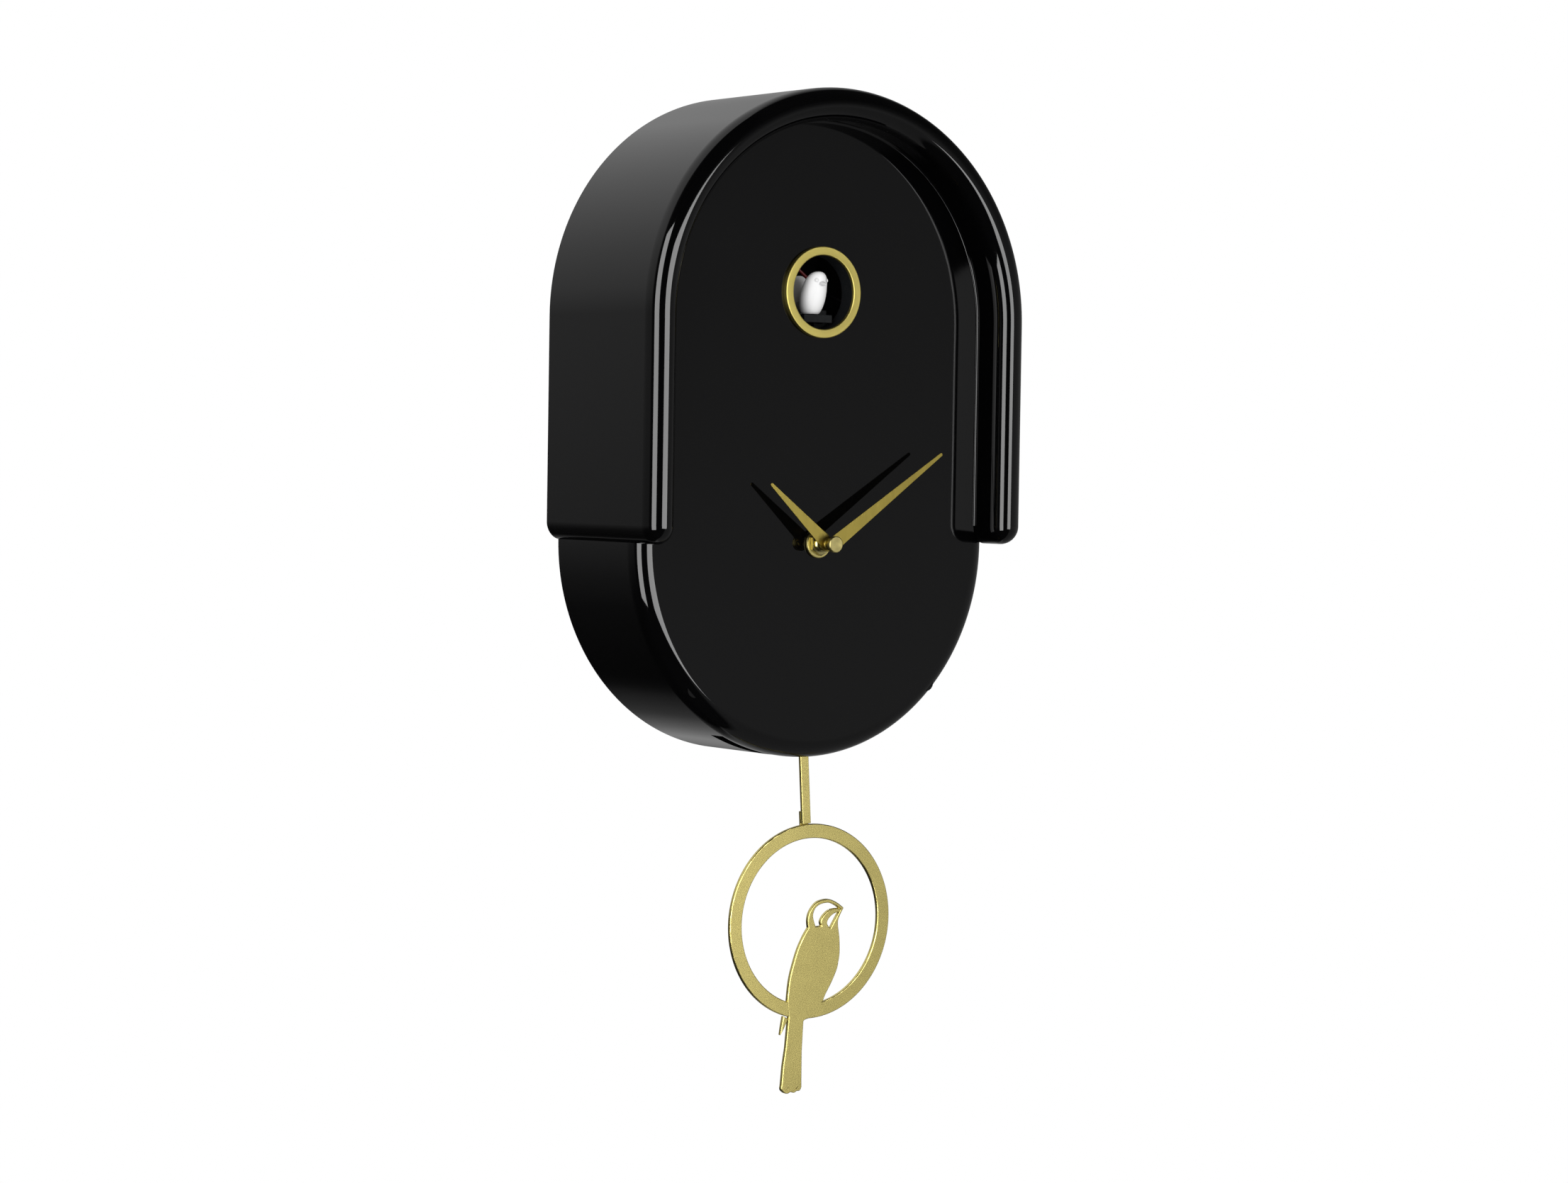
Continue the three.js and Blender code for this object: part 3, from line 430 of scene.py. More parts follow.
def makeSteel(name, color=(0.6, 0.6, 0.61), roughness=0.35):
    # plated or drawn metal, with faint lines along Z
    material, shader = newMaterial(name, color, roughness, 1.0)
    near = placed(material, (1, 1, 6))
    lines = noise(material, near, 420, 5.0)
    link(material, spread(material, lines, roughness * 0.75, roughness * 1.3), shader, "Roughness")
    tone = noise(material, placed(material), 60)
    deep = tuple(c * 0.85 for c in color)
    link(material, ramp(material, tone, 0.3, 0.7, deep, color), shader, "Base Color")
    addBump(material, shader, lines, 0.00001)
    return material


def makeCoil():
    # lacquered copper turns, with painted shade in the grooves between them
    material, shader = newMaterial("copperWinding", (0.55, 0.2, 0.07), 0.35, 1.0)
    turns = addNode(
        material, "ShaderNodeTexWave", {"Vector": placed(material)}, bands_direction="X",
        Scale=900.0, Distortion=0.3,
    )
    # the dark end of this ramp is painted shade where neighbouring turns meet
    tone = ramp(material, turns.outputs["Fac"], 0.1, 0.8, (0.2, 0.06, 0.02), (0.62, 0.24, 0.09))
    link(material, tone, shader, "Base Color")
    addBump(material, shader, turns.outputs["Fac"], 0.00008)
    return material


def makeBoard():
    # green lacquer over copper tracks
    material, shader = newMaterial("circuitBoard", (0.02, 0.11, 0.05), 0.35)
    near = placed(material)
    tracks = addNode(
        material, "ShaderNodeTexBrick", {"Vector": placed(material, rotation=(math.pi / 2, 0, 0))},
        Scale=260.0,
    )
    tracks.inputs["Color1"].default_value = (0.02, 0.1, 0.05, 1)
    tracks.inputs["Color2"].default_value = (0.03, 0.15, 0.07, 1)
    tracks.inputs["Mortar"].default_value = (0.12, 0.3, 0.14, 1)
    tracks.inputs["Mortar Size"].default_value = 0.04
    link(material, tracks.outputs["Color"], shader, "Base Color")
    addBump(material, shader, noise(material, near, 500), 0.00002)
    return material


def makeCell():
    # a printed sleeve in two colours, with a bare band at the positive end
    material, shader = newMaterial("cellSleeve", (0.02, 0.03, 0.07), 0.3, 0.3)
    near = placed(material)
    split = addNode(material, "ShaderNodeSeparateXYZ", {"Vector": near})
    half = 26 * mm
    along = addNode(
        material, "ShaderNodeMapRange", {"Value": split.outputs["X"]}, From_Min=-half, From_Max=half
    )
    band = addNode(material, "ShaderNodeValToRGB", {"Fac": along.outputs["Result"]})
    band.color_ramp.interpolation = "CONSTANT"
    band.color_ramp.elements[0].color = (0.015, 0.018, 0.03, 1)
    band.color_ramp.elements[1].position = 0.72
    band.color_ramp.elements[1].color = (0.45, 0.3, 0.08, 1)
    end = band.color_ramp.elements.new(0.965)
    end.color = (0.5, 0.5, 0.5, 1)
    link(material, band.outputs["Color"], shader, "Base Color")
    link(material, spread(material, noise(material, near, 80), 0.25, 0.4), shader, "Roughness")
    addBump(material, shader, noise(material, near, 350), 0.00002)
    return material


# names, colours, roughness, then the grain's scale and depth
gloss = makeGloss()
bezelGold = makeGold("satinGoldBezel", (0.54, 0.455, 0.13), 0.36, 1500.0, 0.00001)
handGold = makeGold("brushedGoldHands", (0.36, 0.285, 0.065), 0.34, 1200.0, 0.00002,
                    (1, 1, 0.12), (0, math.radians(-34), 0))
plateGold = makeGold("polishedGoldPlate", (0.839, 0.716, 0.252), 0.27, 1600.0, 0.000002)
birdPaint = makeMatt("birdWhitePaint", (0.5, 0.5, 0.5), 0.5, 500.0, 0.00003, 0.08)
eyePaint = makeMatt("birdEyePaint", (0.47, 0.47, 0.47), 0.45, 500.0, 0.00001, 0.05)
mattBlack = makeMatt("mattBlackMoulding", (0.018, 0.018, 0.02), 0.48)
# black moulding made darker still and less glossy: painted shade for the window's inside and the
# parts in the case
innerBlackPaintedShade = makeMatt("innerBlackMoulding", (0.003, 0.0035, 0.004), 0.6)
innerBlackPaintedShade.node_tree.nodes["Principled BSDF"].inputs["Specular IOR Level"].default_value = 0.15
acetal = makeMatt("whiteGearPlastic", (0.75, 0.74, 0.68), 0.4, 700.0, 0.00001, 0.1)
greyPress = makeMatt("speakerBasket", (0.12, 0.12, 0.13), 0.4, 300.0, 0.00002)
wireRed = (0.14, 0.006, 0.006)
redWire = makeMatt("redWireSleeve", wireRed, 0.4, 300.0, 0.00001, 0.3)
# past 12.5 mm the motor wire is painted black as painted shade behind the bird
motorWire = makeWirePaintedShade(wireRed, (0.004, 0.004, 0.004), 12.5 * mm)
blackWire = makeMatt("blackWireSleeve", (0.012, 0.012, 0.012), 0.4, 300.0, 0.00001, 0.3)
zinc = makeSteel("zincSteel")
brightSteel = makeSteel("nickelSteel", (0.75, 0.74, 0.72), 0.22)
wheelBrass = makeSteel("wheelBrass", (0.7, 0.52, 0.22), 0.3)
copper = makeCoil()
boardGreen = makeBoard()
cellSleeve = makeCell()
print("materials ready")


# the camera stands in front of the clock, on its left
eye = dict(
    place=(-1.05082, -1.52609, -0.06165), right=(0.81649095, -0.57714293, 0.01576611),
    up=(0.00848695, 0.03930201, 0.99919133), lens=87.457, sensor=36, nearest=0.05,
)
deselect()
bpy.ops.object.camera_add(location=eye["place"])
camera = bpy.context.object
camera.name = "mainCamera"
right, up = Vector(eye["right"]), Vector(eye["up"])
turned = camera.matrix_world.to_3x3()
turned.col[0], turned.col[1], turned.col[2] = right, up, right.cross(up)
camera.rotation_euler = turned.to_euler()
camera.data.lens = eye["lens"]
camera.data.sensor_width = eye["sensor"]
camera.data.clip_start = eye["nearest"]
scene.camera = camera

# each box: name, direction and width round the clock, lowest and highest angle
softBoxes = dict(
    middle=(0, 0, -0.1), distance=3.0, radiance=6.0,
    boxes=[("keyBox", 36, 26, -23.5, 33), ("fillBox", 99, 30, -15, 17)],
)


def softBox(name, around, width, low, high):
    # around is measured from -X through -Y; all angles are in degrees
    turnTo, reach = math.radians(around), softBoxes["distance"]
    top, bottom = (reach * math.tan(math.radians(angle)) for angle in (high, low))
    ahead = Vector((-math.cos(turnTo), -math.sin(turnTo), 0))
    place = Vector(softBoxes["middle"]) + ahead * reach + Vector((0, 0, (top + bottom) / 2))
    deselect()
    bpy.ops.object.light_add(type="AREA", location=place)
    lamp = bpy.context.object
    lamp.name = name
    lamp.rotation_euler = ahead.to_track_quat("Z", "Y").to_euler()
    lamp.data.shape = "RECTANGLE"
    lamp.data.size = 2 * reach * math.tan(math.radians(width / 2))
    lamp.data.size_y = top - bottom
    lamp.data.energy = softBoxes["radiance"] * math.pi * lamp.data.size * lamp.data.size_y
    lamp.visible_camera = False


for values in softBoxes["boxes"]:
    softBox(*values)

# the room as the gloss mirrors it: pairs of an angle in degrees and a grey level or a share.
# rise goes from -90 below to 90 above; sweep is 0 at the wall, 90 on the right, 180 in front
# and -90 on the left
room = dict(
    behindLeft=[  # over rise
        (-33, 0.01), (-20, 0.03), (-12, 0.07), (-2, 0.15), (9, 0.37), (20, 0.5), (35, 0.74),
    ],
    frontRight=[(-20, 0.2), (-4, 0.25), (5, 0.18), (15, 0.07), (30, 0.02)],  # over rise
    belowRight=[(0, 0.03), (15, 0.12), (22, 0.29), (28, 0.52)],  # over sweep
    besideCamera=[(0, 0.01)],
    right=[(0, 0), (20, 0), (60, 1)],
    front=[(-120, 1), (-95, 0), (60, 0), (110, 1)],
    low=[(-20, 1), (-8, 0)],
    pastWall=[(-4, 0), (4, 1)],
    clearOfCamera=[(-100, 0.05), (-90, 1), (160, 1), (167, 0.05)],
    seen=1.0, bounced=0.8,
)
world = bpy.data.worlds.new("studioRoom")
scene.world = world
world.use_nodes = True
worldNodes, worldLinks = world.node_tree.nodes, world.node_tree.links
worldNodes.clear()


def worldMath(operation, first, second=None):
    node = worldNodes.new("ShaderNodeMath")
    node.operation = operation
    for socket, value in zip(node.inputs, (first, second)):
        if isinstance(value, (int, float)):
            socket.default_value = value
        elif value is not None:
            worldLinks.new(value, socket)
    return node.outputs[0]


def worldRamp(angle, stops, low, high):
    # grey levels along an angle in degrees, between low and high
    fac = worldNodes.new("ShaderNodeMapRange")
    worldLinks.new(angle, fac.inputs["Value"])
    fac.inputs["From Min"].default_value = low
    fac.inputs["From Max"].default_value = high
    node = worldNodes.new("ShaderNodeValToRGB")
    worldLinks.new(fac.outputs["Result"], node.inputs["Fac"])
    elements = node.color_ramp.elements
    while len(elements) > 1:
        elements.remove(elements[-1])
    for i, (at, level) in enumerate(stops):
        stop = elements[0] if i == 0 else elements.new((at - low) / (high - low))
        stop.position = (at - low) / (high - low)
        stop.color = (level, level, level, 1)
    return node.outputs["Color"]


def worldMix(fac, first, second):
    node = worldNodes.new("ShaderNodeMix")
    node.data_type = "RGBA"
    worldLinks.new(fac, node.inputs["Factor"])
    worldLinks.new(first, node.inputs["A"])
    worldLinks.new(second, node.inputs["B"])
    return node.outputs["Result"]


def worldShade(level):
    # an even grey, or a colour that another node gives
    node = worldNodes.new("ShaderNodeBackground")
    if isinstance(level, float):
        node.inputs["Color"].default_value = (level, level, level, 1)
    else:
        worldLinks.new(level, node.inputs["Color"])
    return node.outputs[0]


def worldSwitch(fac, first, second):
    node = worldNodes.new("ShaderNodeMixShader")
    for socket, source in zip(node.inputs, (fac, first, second)):
        worldLinks.new(source, socket)
    return node.outputs[0]


direction = worldNodes.new("ShaderNodeTexCoord").outputs["Generated"]
axes = worldNodes.new("ShaderNodeSeparateXYZ")
worldLinks.new(direction, axes.inputs["Vector"])
degrees = 180 / math.pi
rise = worldMath("MULTIPLY", worldMath("ARCSINE", axes.outputs["Z"]), degrees)
sweep = worldMath("MULTIPLY", worldMath("ARCTAN2", axes.outputs["X"], axes.outputs["Y"]), degrees)


def overRise(name):
    return worldRamp(rise, room[name], -90, 90)


def overSweep(name):
    return worldRamp(sweep, room[name], -180, 180)


front = overRise("frontRight")
lowPart = worldMath("MULTIPLY", overRise("low"), overSweep("pastWall"))
around = worldMix(lowPart, overRise("behindLeft"), overSweep("belowRight"))
around = worldMix(overSweep("right"), around, front)
around = worldMix(overSweep("front"), around, front)
around = worldMix(overSweep("clearOfCamera"), overRise("besideCamera"), around)
rays = worldNodes.new("ShaderNodeLightPath").outputs
light = worldSwitch(rays["Is Diffuse Ray"], worldShade(around), worldShade(room["bounced"]))
light = worldSwitch(rays["Is Camera Ray"], light, worldShade(room["seen"]))
surface = worldNodes.new("ShaderNodeOutputWorld")
worldLinks.new(light, surface.inputs["Surface"])

studio = dict(floorRadius=1.2, floorSides=96, floorZ=-0.75, paint=(0.9, 0.9, 0.9))
deselect()
bpy.ops.mesh.primitive_circle_add(
    vertices=studio["floorSides"], radius=studio["floorRadius"], fill_type="NGON",
    location=(0, 0, studio["floorZ"]),
)
floor = bpy.context.object
floor.name = "studioFloor"
floorPaint, _ = newMaterial("paleFloor", studio["paint"], 0.9)
floor.data.materials.append(floorPaint)
floor.visible_glossy = False
scene.view_settings.view_transform = "Standard"
print("camera, lights and floor ready")


caseLow, caseHigh = nodeBox("case_body")
case = dict(
    radius=caseHigh[0], drop=-caseLow[2] - caseHigh[0], dial=caseLow[1], edge=8.5 * mm,
    wall=2.5 * mm, birdHole=19.2 * mm, birdZ=13 * mm, arborHole=4.2 * mm, slotHalf=46 * mm,
    slot=(-58.5 * mm, -48.5 * mm), slotDeep=(-120 * mm, -83 * mm), boss=4 * mm,
    bossEnd=-4.6 * mm, pilot=1.3 * mm,
    bosses=[  # x and z, in mm
        (67.4, 67.4), (-67.4, 67.4), (67.4, -172.7), (-67.4, -172.7), (95.3, -52.65),
        (-95.3, -52.65),
    ],
)


def capsulePlate(radius, front, back, steps=96):
    # two half rounds and the straight sides between them
    upper = arc(0, 0, radius, 0, 180, steps)
    lower = arc(0, -case["drop"], radius, 180, 360, steps)
    return plate(upper + lower, front, back)


def drill(piece, radius, z, sides):
    # a round hole along Y from well ahead of the dial to just behind it, at height z
    front, back = case["dial"] - 22 * mm, case["dial"] + 8 * mm
    boolean(piece, rod(radius, (0, front, z), (0, back, z), sides))


def makeCase():
    shell = capsulePlate(case["radius"], case["dial"], 0)
    edit(shell)
    pick(shell, "edges", lambda p, n: abs(p.y - case["dial"]) < onPlane)
    bpy.ops.mesh.bevel(offset=case["edge"], segments=16, affect="EDGES", clamp_overlap=False)
    pick(shell, "faces", lambda p, n: abs(p.y) < onPlane and abs(n.y) > 0.99)
    bpy.ops.mesh.delete(type="FACE")  # the back is open
    leave()
    modify(shell, "SOLIDIFY", thickness=case["wall"], offset=-1, use_even_offset=True)
    lowerMiddle = -case["drop"]
    drill(shell, case["birdHole"], case["birdZ"], 128)
    drill(shell, case["arborHole"], lowerMiddle, 64)
    half, (front, back), (low, high) = case["slotHalf"], case["slot"], case["slotDeep"]
    boolean(shell, box((-half, front, lowerMiddle + low), (half, back, lowerMiddle + high)))
    # the bosses for the back cover's screws end inside the front wall
    pilot, boss, end = case["pilot"], case["boss"], case["bossEnd"]
    root = case["dial"] + case["wall"] - 1 * mm
    profile = [(pilot, end), (boss, end), (boss, root), (pilot, root)]
    bosses = [turn(profile, (x * mm, z * mm), 32) for x, z in case["bosses"]]
    shell = joinAll([shell] + bosses)
    smooth(shell, 30)
    return shell


finishPiece(makeCase(), "caseShell", "case", "gloss_case", gloss, "case_body")
print("case shell made")


hoodLow, hoodHigh = nodeBox("hood")
hood = dict(
    radius=hoodHigh[0], foot=hoodLow[2], front=hoodLow[1], ridge=99.4 * mm, inner=93.7 * mm,
    lip=92.5 * mm, wall=2.4 * mm, gap=0.3 * mm, cove=1.3 * mm,
)
legEnd = hood["foot"] + hood["radius"] - hood["ridge"]  # the legs end in a half round below this


def hoodHalf(steps=14):
    # outer skin from the ridge to the wall, then the inside back to the ridge
    outside = hood["radius"] - hood["ridge"]
    inside = outside - hood["wall"]
    middle = hood["front"] + outside
    skin = arc(0, middle, outside, -90, 0, steps)
    lining = arc(0, middle, inside, 0, -90, steps)
    return skin + [(outside, 0), (inside, 0)] + lining


def makeHood():
    half = hoodHalf()
    # the inner wall leans: its front edge stands further in than its foot on the dial
    squeeze = (hood["ridge"] - hood["lip"]) / (hood["radius"] - hood["ridge"])
    tall = case["dial"] - hood["front"] - (hood["ridge"] - hood["lip"])
    slope = (hood["inner"] - hood["lip"]) / (hood["ridge"] - hood["lip"])
    lean = 1 - slope * (tall - case["dial"]) / tall
    split = len(half) // 2
    outerSkin, outerLining = half[:split], half[split:]
    innerSkin, innerLining = (
        [(-r * squeeze * (lean if y == 0 else 1), y) for r, y in reversed(side)]
        for side in (outerSkin, outerLining)
    )
    ring = outerSkin + outerLining + innerLining[1:] + innerSkin[:-1]
    band = drawLine([(hood["ridge"] + r, y, 0) for r, y in ring], closed=True)
    pickAll()
    bpy.ops.mesh.spin(steps=96, angle=math.pi, center=(0, 0, 0), axis=(0, 1, 0))
    pick(band, "edges", lambda p, n: abs(p.z) < onPlane)
    pull((0, 0, legEnd))
    leave()
    ends = []
    for way in (1, -1):
        end = drawLine([(hood["ridge"] + r, y, legEnd) for r, y in half])
        pickAll()
        middle = (hood["ridge"], 0, legEnd)
        bpy.ops.mesh.spin(steps=32, angle=-math.pi, center=middle, axis=(0, 1, 0))
        pick(end, "verts", lambda p, n: p.x < hood["ridge"] - 1e-7)
        stretch((squeeze, 1, 1), middle)
        pick(end, "verts", lambda p, n: p.x < hood["ridge"] - 1e-7 and abs(p.y) < 1e-7)
        stretch((lean, 1, 1), middle)
        if way < 0:
            pickAll()
            stretch((-1, 1, 1), (0, 0, 0))
        leave()
        ends.append(end)
    band = joinAll([band] + ends)
    tidyMesh(band, 4e-6)
    print("hood reaches down to", round(min(v.co.z for v in band.data.vertices) / mm, 2), "mm")
    fit = hood["gap"]
    boolean(band, capsulePlate(case["radius"] + fit, case["dial"] - fit, 0.01))
    smooth(band, 32)
    return band


finishPiece(makeHood(), "hoodShell", "case", "gloss_case", gloss, "hood")
print("hood made")


def makeSeam():
    # the small cove where the hood's inner wall meets the dial
    size, at, dial = hood["cove"], hood["inner"], case["dial"]
    buried = at + 0.25 * mm  # its back is inside the hood's wall
    ring = arc(at - size, dial - size, size, 0, 90, 8)
    ring += [(buried, dial + 0.02 * mm), (buried, dial - size)]
    band = drawLine([(x, y, 0) for x, y in ring], closed=True)
    pickAll()
    bpy.ops.mesh.spin(steps=96, angle=math.pi, center=(0, 0, 0), axis=(0, 1, 0))
    pick(band, "edges", lambda p, n: abs(p.z) < onPlane)
    pull((0, 0, legEnd))
    pick(band, "edges", lambda p, n: abs(p.z - legEnd) < onPlane)
    bpy.ops.mesh.fill()
    leave()
    tidyMesh(band)
    smooth(band, 40, weighted=False)
    return band


finishPiece(makeSeam(), "dialCove", "case", "gloss_case", gloss)
print("dial cove made")


bezelLow, bezelHigh = nodeBox("bird_bezel")
bezel = dict(
    outer=bezelHigh[0], face=bezelLow[1], back=bezelHigh[1], bore=17.4 * mm, tube=18.9 * mm,
    seat=-68.6 * mm, edge=0.45 * mm, clear=0.05 * mm, tubeEdge=0.35 * mm,
)
windowMiddle = (0, case["birdZ"])


def makeBezel():
    b = bezel
    foot = case["dial"] - b["clear"]
    ring = turn(
        [(b["bore"], b["seat"]), (b["bore"], b["face"]), (b["outer"], b["face"]),
         (b["outer"], foot), (b["tube"], foot), (b["tube"], b["seat"])],
        windowMiddle, 144,
    )
    edit(ring)
    pick(ring, "edges", lambda p, n: abs(p.y - b["face"]) < onPlane)
    bpy.ops.mesh.bevel(offset=b["edge"], segments=5, affect="EDGES")
    leave()
    smooth(ring, 40)
    return ring


def makeTube():
    # the tube behind the gold ring, with a rolled lip at its inner end; its near-black colour is
    # painted shade inside the window
    b = bezel
    bore, front = b["bore"] + 2 * b["clear"], b["seat"] + 0.02 * mm
    tube = turn(
        [(bore, front), (b["tube"], front), (b["tube"], b["back"]), (bore, b["back"])],
        windowMiddle, 96,
    )
    soften(tube, b["tubeEdge"], 3, 50)
    smooth(tube, 40)
    return tube


finishPiece(makeBezel(), "bezelRing", "case", "gold_plate", bezelGold, "bird_bezel")
finishPiece(makeTube(), "windowTube", "case", "matt_case", innerBlackPaintedShade)

# the bird's body is a turned form that leans to the front; all in mm, side as (radius, z)
bird = dict(
    y=-59, lean=6.2, leanPower=1.35,
    side=[
        (0, 2.85), (3.0, 2.87), (4.0, 3.1), (4.9, 4.3), (5.7, 6.5), (6.15, 9.2), (6.2, 12),
        (5.95, 14.6), (5.6, 16.8), (5.15, 18.8), (4.35, 20.6), (3.1, 22.0), (1.6, 22.75),
        (0, 22.9),
    ],
)
birdEye = dict(x=3.1, y=-68.2, z=18.7, radius=0.8, proud=0.28, facing=(0.62, -0.78, 0.1))
birdBeak = dict(base=1.5, tip=0.25, length=2.9, y=-70.3, z=16.9, tilt=98, flat=0.75, edge=0.22)
birdTail = dict(
    front=-50.2, back=-48.8, edge=0.4, rump=(3.4, 7.2, 3.1), rumpY=-54.5, rumpZ=6.6,
    half=[(2.0, 2.9), (2.6, 6), (3.7, 11), (4.5, 16), (4.0, 19.4), (2.0, 21)], tip=(0, 21.3),
)


def makeBird():
    side = through([(r * mm, z * mm) for r, z in bird["side"]], 3)
    middle = bird["y"] * mm
    body = drawLine([(max(r, 0), middle, z) for r, z in side])
    pickAll()
    bpy.ops.mesh.spin(steps=64, angle=2 * math.pi, center=(0, middle, 0), axis=(0, 0, 1))
    pickAll()
    bpy.ops.mesh.remove_doubles(threshold=2e-6)
    last = 0
    foot, top = side[0][1], side[-1][1]
    for _, z in side[1:]:
        # each ring, with all above it, leans a little more to the front
        share = max(0, (z - foot) / (top - foot))
        lean = bird["lean"] * mm * share ** bird["leanPower"]
        pick(body, "verts", lambda p, n: p.z > z - onPlane)
        push((0, -(lean - last), 0))
        last = lean
    leave()
    tidyMesh(body, 2e-6)
    smooth(body, 60, weighted=False)
    return body


def ball(radii, middle, segments=40, rings=24):
    deselect()
    bpy.ops.mesh.primitive_uv_sphere_add(
        segments=segments, ring_count=rings, radius=1, location=Vector(middle) * mm,
        scale=Vector(radii) * mm,
    )
    piece = bpy.context.object
    settle(piece)
    return piece


def makeEye(way):
    # a flat bead, on the left for way -1 and on the right for way 1
    e = birdEye
    bead = ball((e["radius"], e["radius"], e["proud"]), (0, 0, 0), 32, 16)
    outX, outY, outZ = e["facing"]
    bead.rotation_euler = Vector((way * outX, outY, outZ)).to_track_quat("Z", "Y").to_euler()
    bead.location = (way * e["x"] * mm, e["y"] * mm, e["z"] * mm)
    settle(bead)
    smooth(bead, 60, weighted=False)
    return bead


def makeBeak():
    b = birdBeak
    deselect()
    bpy.ops.mesh.primitive_cone_add(
        vertices=32, radius1=b["base"] * mm, radius2=b["tip"] * mm, depth=b["length"] * mm,
        location=(0, b["y"] * mm, b["z"] * mm), scale=(1.0, b["flat"], 1.0),
        rotation=(math.radians(b["tilt"]), 0, 0),
    )
    beak = bpy.context.object
    settle(beak)
    soften(beak, b["edge"] * mm, 3, 30)
    smooth(beak, 50, weighted=False)
    return beak


def makeTail():
    # a thin upright fan behind the body, wider and rounded at the top
    t = birdTail
    outline = [(-x, z) for x, z in t["half"]] + [t["tip"]] + t["half"][::-1]
    points = [(x * mm, z * mm) for x, z in through(outline, 4)]
    fan = plate(points, t["front"] * mm, t["back"] * mm)
    soften(fan, t["edge"] * mm, 3, 40)
    rump = ball(t["rump"], (0, t["rumpY"], t["rumpZ"]))
    tail = joinAll([fan, rump])
    smooth(tail, 50, weighted=False)
    return tail


finishPiece(makeBird(), "birdFigure", "bird_carriage", "bird_paint", birdPaint, "bird")
finishPiece(makeEye(-1), "birdEyeLeft", "bird_carriage", "bird_paint", eyePaint)
finishPiece(makeEye(1), "birdEyeRight", "bird_carriage", "bird_paint", eyePaint)
finishPiece(makeBeak(), "birdBeak", "bird_carriage", "bird_paint", eyePaint)
finishPiece(makeTail(), "birdTail", "bird_carriage", "bird_paint", birdPaint)
print("window and bird made")


# the hub and the hands are in mm, and y runs from the wall to the front in minus
# washer, nut, bush and cap are each a half width, a front and a back
hub = dict(
    washer=spanOf("dial_washer"), nut=spanOf("hex_nut"), bush=spanOf("threaded_bush"),
    cap=spanOf("cap_nut"), bore=3.95, pipeBore=2.85, pitch=0.5, threadDeep=0.28,
    nutCone=[(0.01, -0.02), (4.85, -0.02), (4.95, 0), (6.4, 0.78)], nutEdge=0.12,
    capFace=0.6, arborRadius=1.05,
)
hubMiddle = (0, -case["drop"])
washerMetal = makeTurned("turnedWasher", (0.55, 0.47, 0.17), 0.32, hubMiddle)
nutMetal = makeSteel("polishedNut", (0.6, 0.52, 0.22), 0.2)
capMetal = makeTurned("turnedCap", (0.5, 0.43, 0.17), 0.32, hubMiddle)


def lathe(profile, steps=96):
    return turn([(r * mm, y * mm) for r, y in profile], hubMiddle, steps)


def makeWasher():
    radius, front, back = hub["washer"]
    washer = lathe(
        [(hub["bore"], back), (hub["bore"], front), (radius - 0.45, front),
         (radius - 0.12, front + 0.12), (radius, front + 0.45), (radius, back)]
    )
    smooth(washer, 30)
    return washer


def makeNut():
    halfFlats, front, back = hub["nut"]
    corner = 2 * halfFlats * mm / math.sqrt(3)
    nut = plate(arc(*hubMiddle, corner, 90, 390, 5), front * mm, back * mm)
    # the front corners are turned off at thirty degrees
    profile = [(radius, front + y) for radius, y in hub["nutCone"]]
    widest, axis = profile[-1][0], profile[0][0]
    cone = lathe(profile + [(widest, back + 1), (axis, back + 1)])
    boolean(nut, cone, "INTERSECT")
    drill(nut, hub["bore"] * mm, hubMiddle[1], 64)
    soften(nut, hub["nutEdge"] * mm, 2, 25)
    smooth(nut, 25)
    return nut


def makeBush():
    radius, front, back = hub["bush"]
    bore, pitch, core = hub["pipeBore"], hub["pitch"], radius - hub["threadDeep"]
    profile = [(bore, back), (bore, front), (radius - 0.45, front)]
    for i in range(int((back - front) / pitch)):
        y = front + pitch / 2 + i * pitch
        profile += [(radius, y), (core, y + pitch / 2)]
    profile.append((core, back))
    bush = lathe(profile, 64)
    smooth(bush, 20, weighted=False)
    return bush


def makeCap():
    # a plain cap with one turned groove, hollow behind for the arbor's end
    radius, front, back = hub["cap"]
    hollow, arbor, groove = front + hub["capFace"], hub["arborRadius"], radius - 0.18
    cap = lathe(
        [(arbor, back), (arbor, hollow), (0.02, hollow), (0.02, front), (radius - 0.35, front),
         (radius, front + 0.3), (radius, front + 0.75), (groove, front + 0.85),
         (groove, front + 1.0), (radius, front + 1.1), (radius, back)]
    )
    smooth(cap, 30)
    return cap


# both hands' blades; an angle is in degrees clockwise from twelve
hand = dict(thick=0.5, root=7.0, tip=1.6, edge=0.11)
hourHand = dict(node="hour_hand", reach=43.4, angle=310.5, collar=3.3, bore=2.55)
minuteHand = dict(node="minute_hand", reach=76.8, angle=55.7, collar=2.9, bore=1.05)


def makeHand(sizes):
    tip, bore, collar = hand["tip"] / 2, sizes["bore"], sizes["collar"]
    _, front, back = spanOf(sizes["node"])
    outline = arc(0, 0, hand["root"] / 2, 180, 360, 32)
    outline += arc(0, sizes["reach"] - tip, tip, 0, 180, 12)
    c, s = math.cos(math.radians(-sizes["angle"])), math.sin(math.radians(-sizes["angle"]))
    points = [
        ((x * c - z * s) * mm, hubMiddle[1] + (x * s + z * c) * mm) for x, z in outline
    ]
    blade = plate(points, front * mm, (front + hand["thick"]) * mm)
    drill(blade, bore * mm, hubMiddle[1], 48)
    soften(blade, hand["edge"] * mm, 2, 40)
    # the collar has one turned groove
    neck = front + hand["thick"] - 0.02
    sleeve = lathe(
        [(bore, neck), (collar, neck), (collar, back - 1.35), (collar - 0.1, back - 1.25),
         (collar - 0.35, back - 1.2), (collar - 0.35, back - 0.95), (collar - 0.1, back - 0.9),
         (collar, back - 0.8), (collar, back - 0.15), (collar - 0.15, back), (bore, back)], 72
    )
    piece = joinAll([blade, sleeve])
    smooth(piece, 30)
    return piece


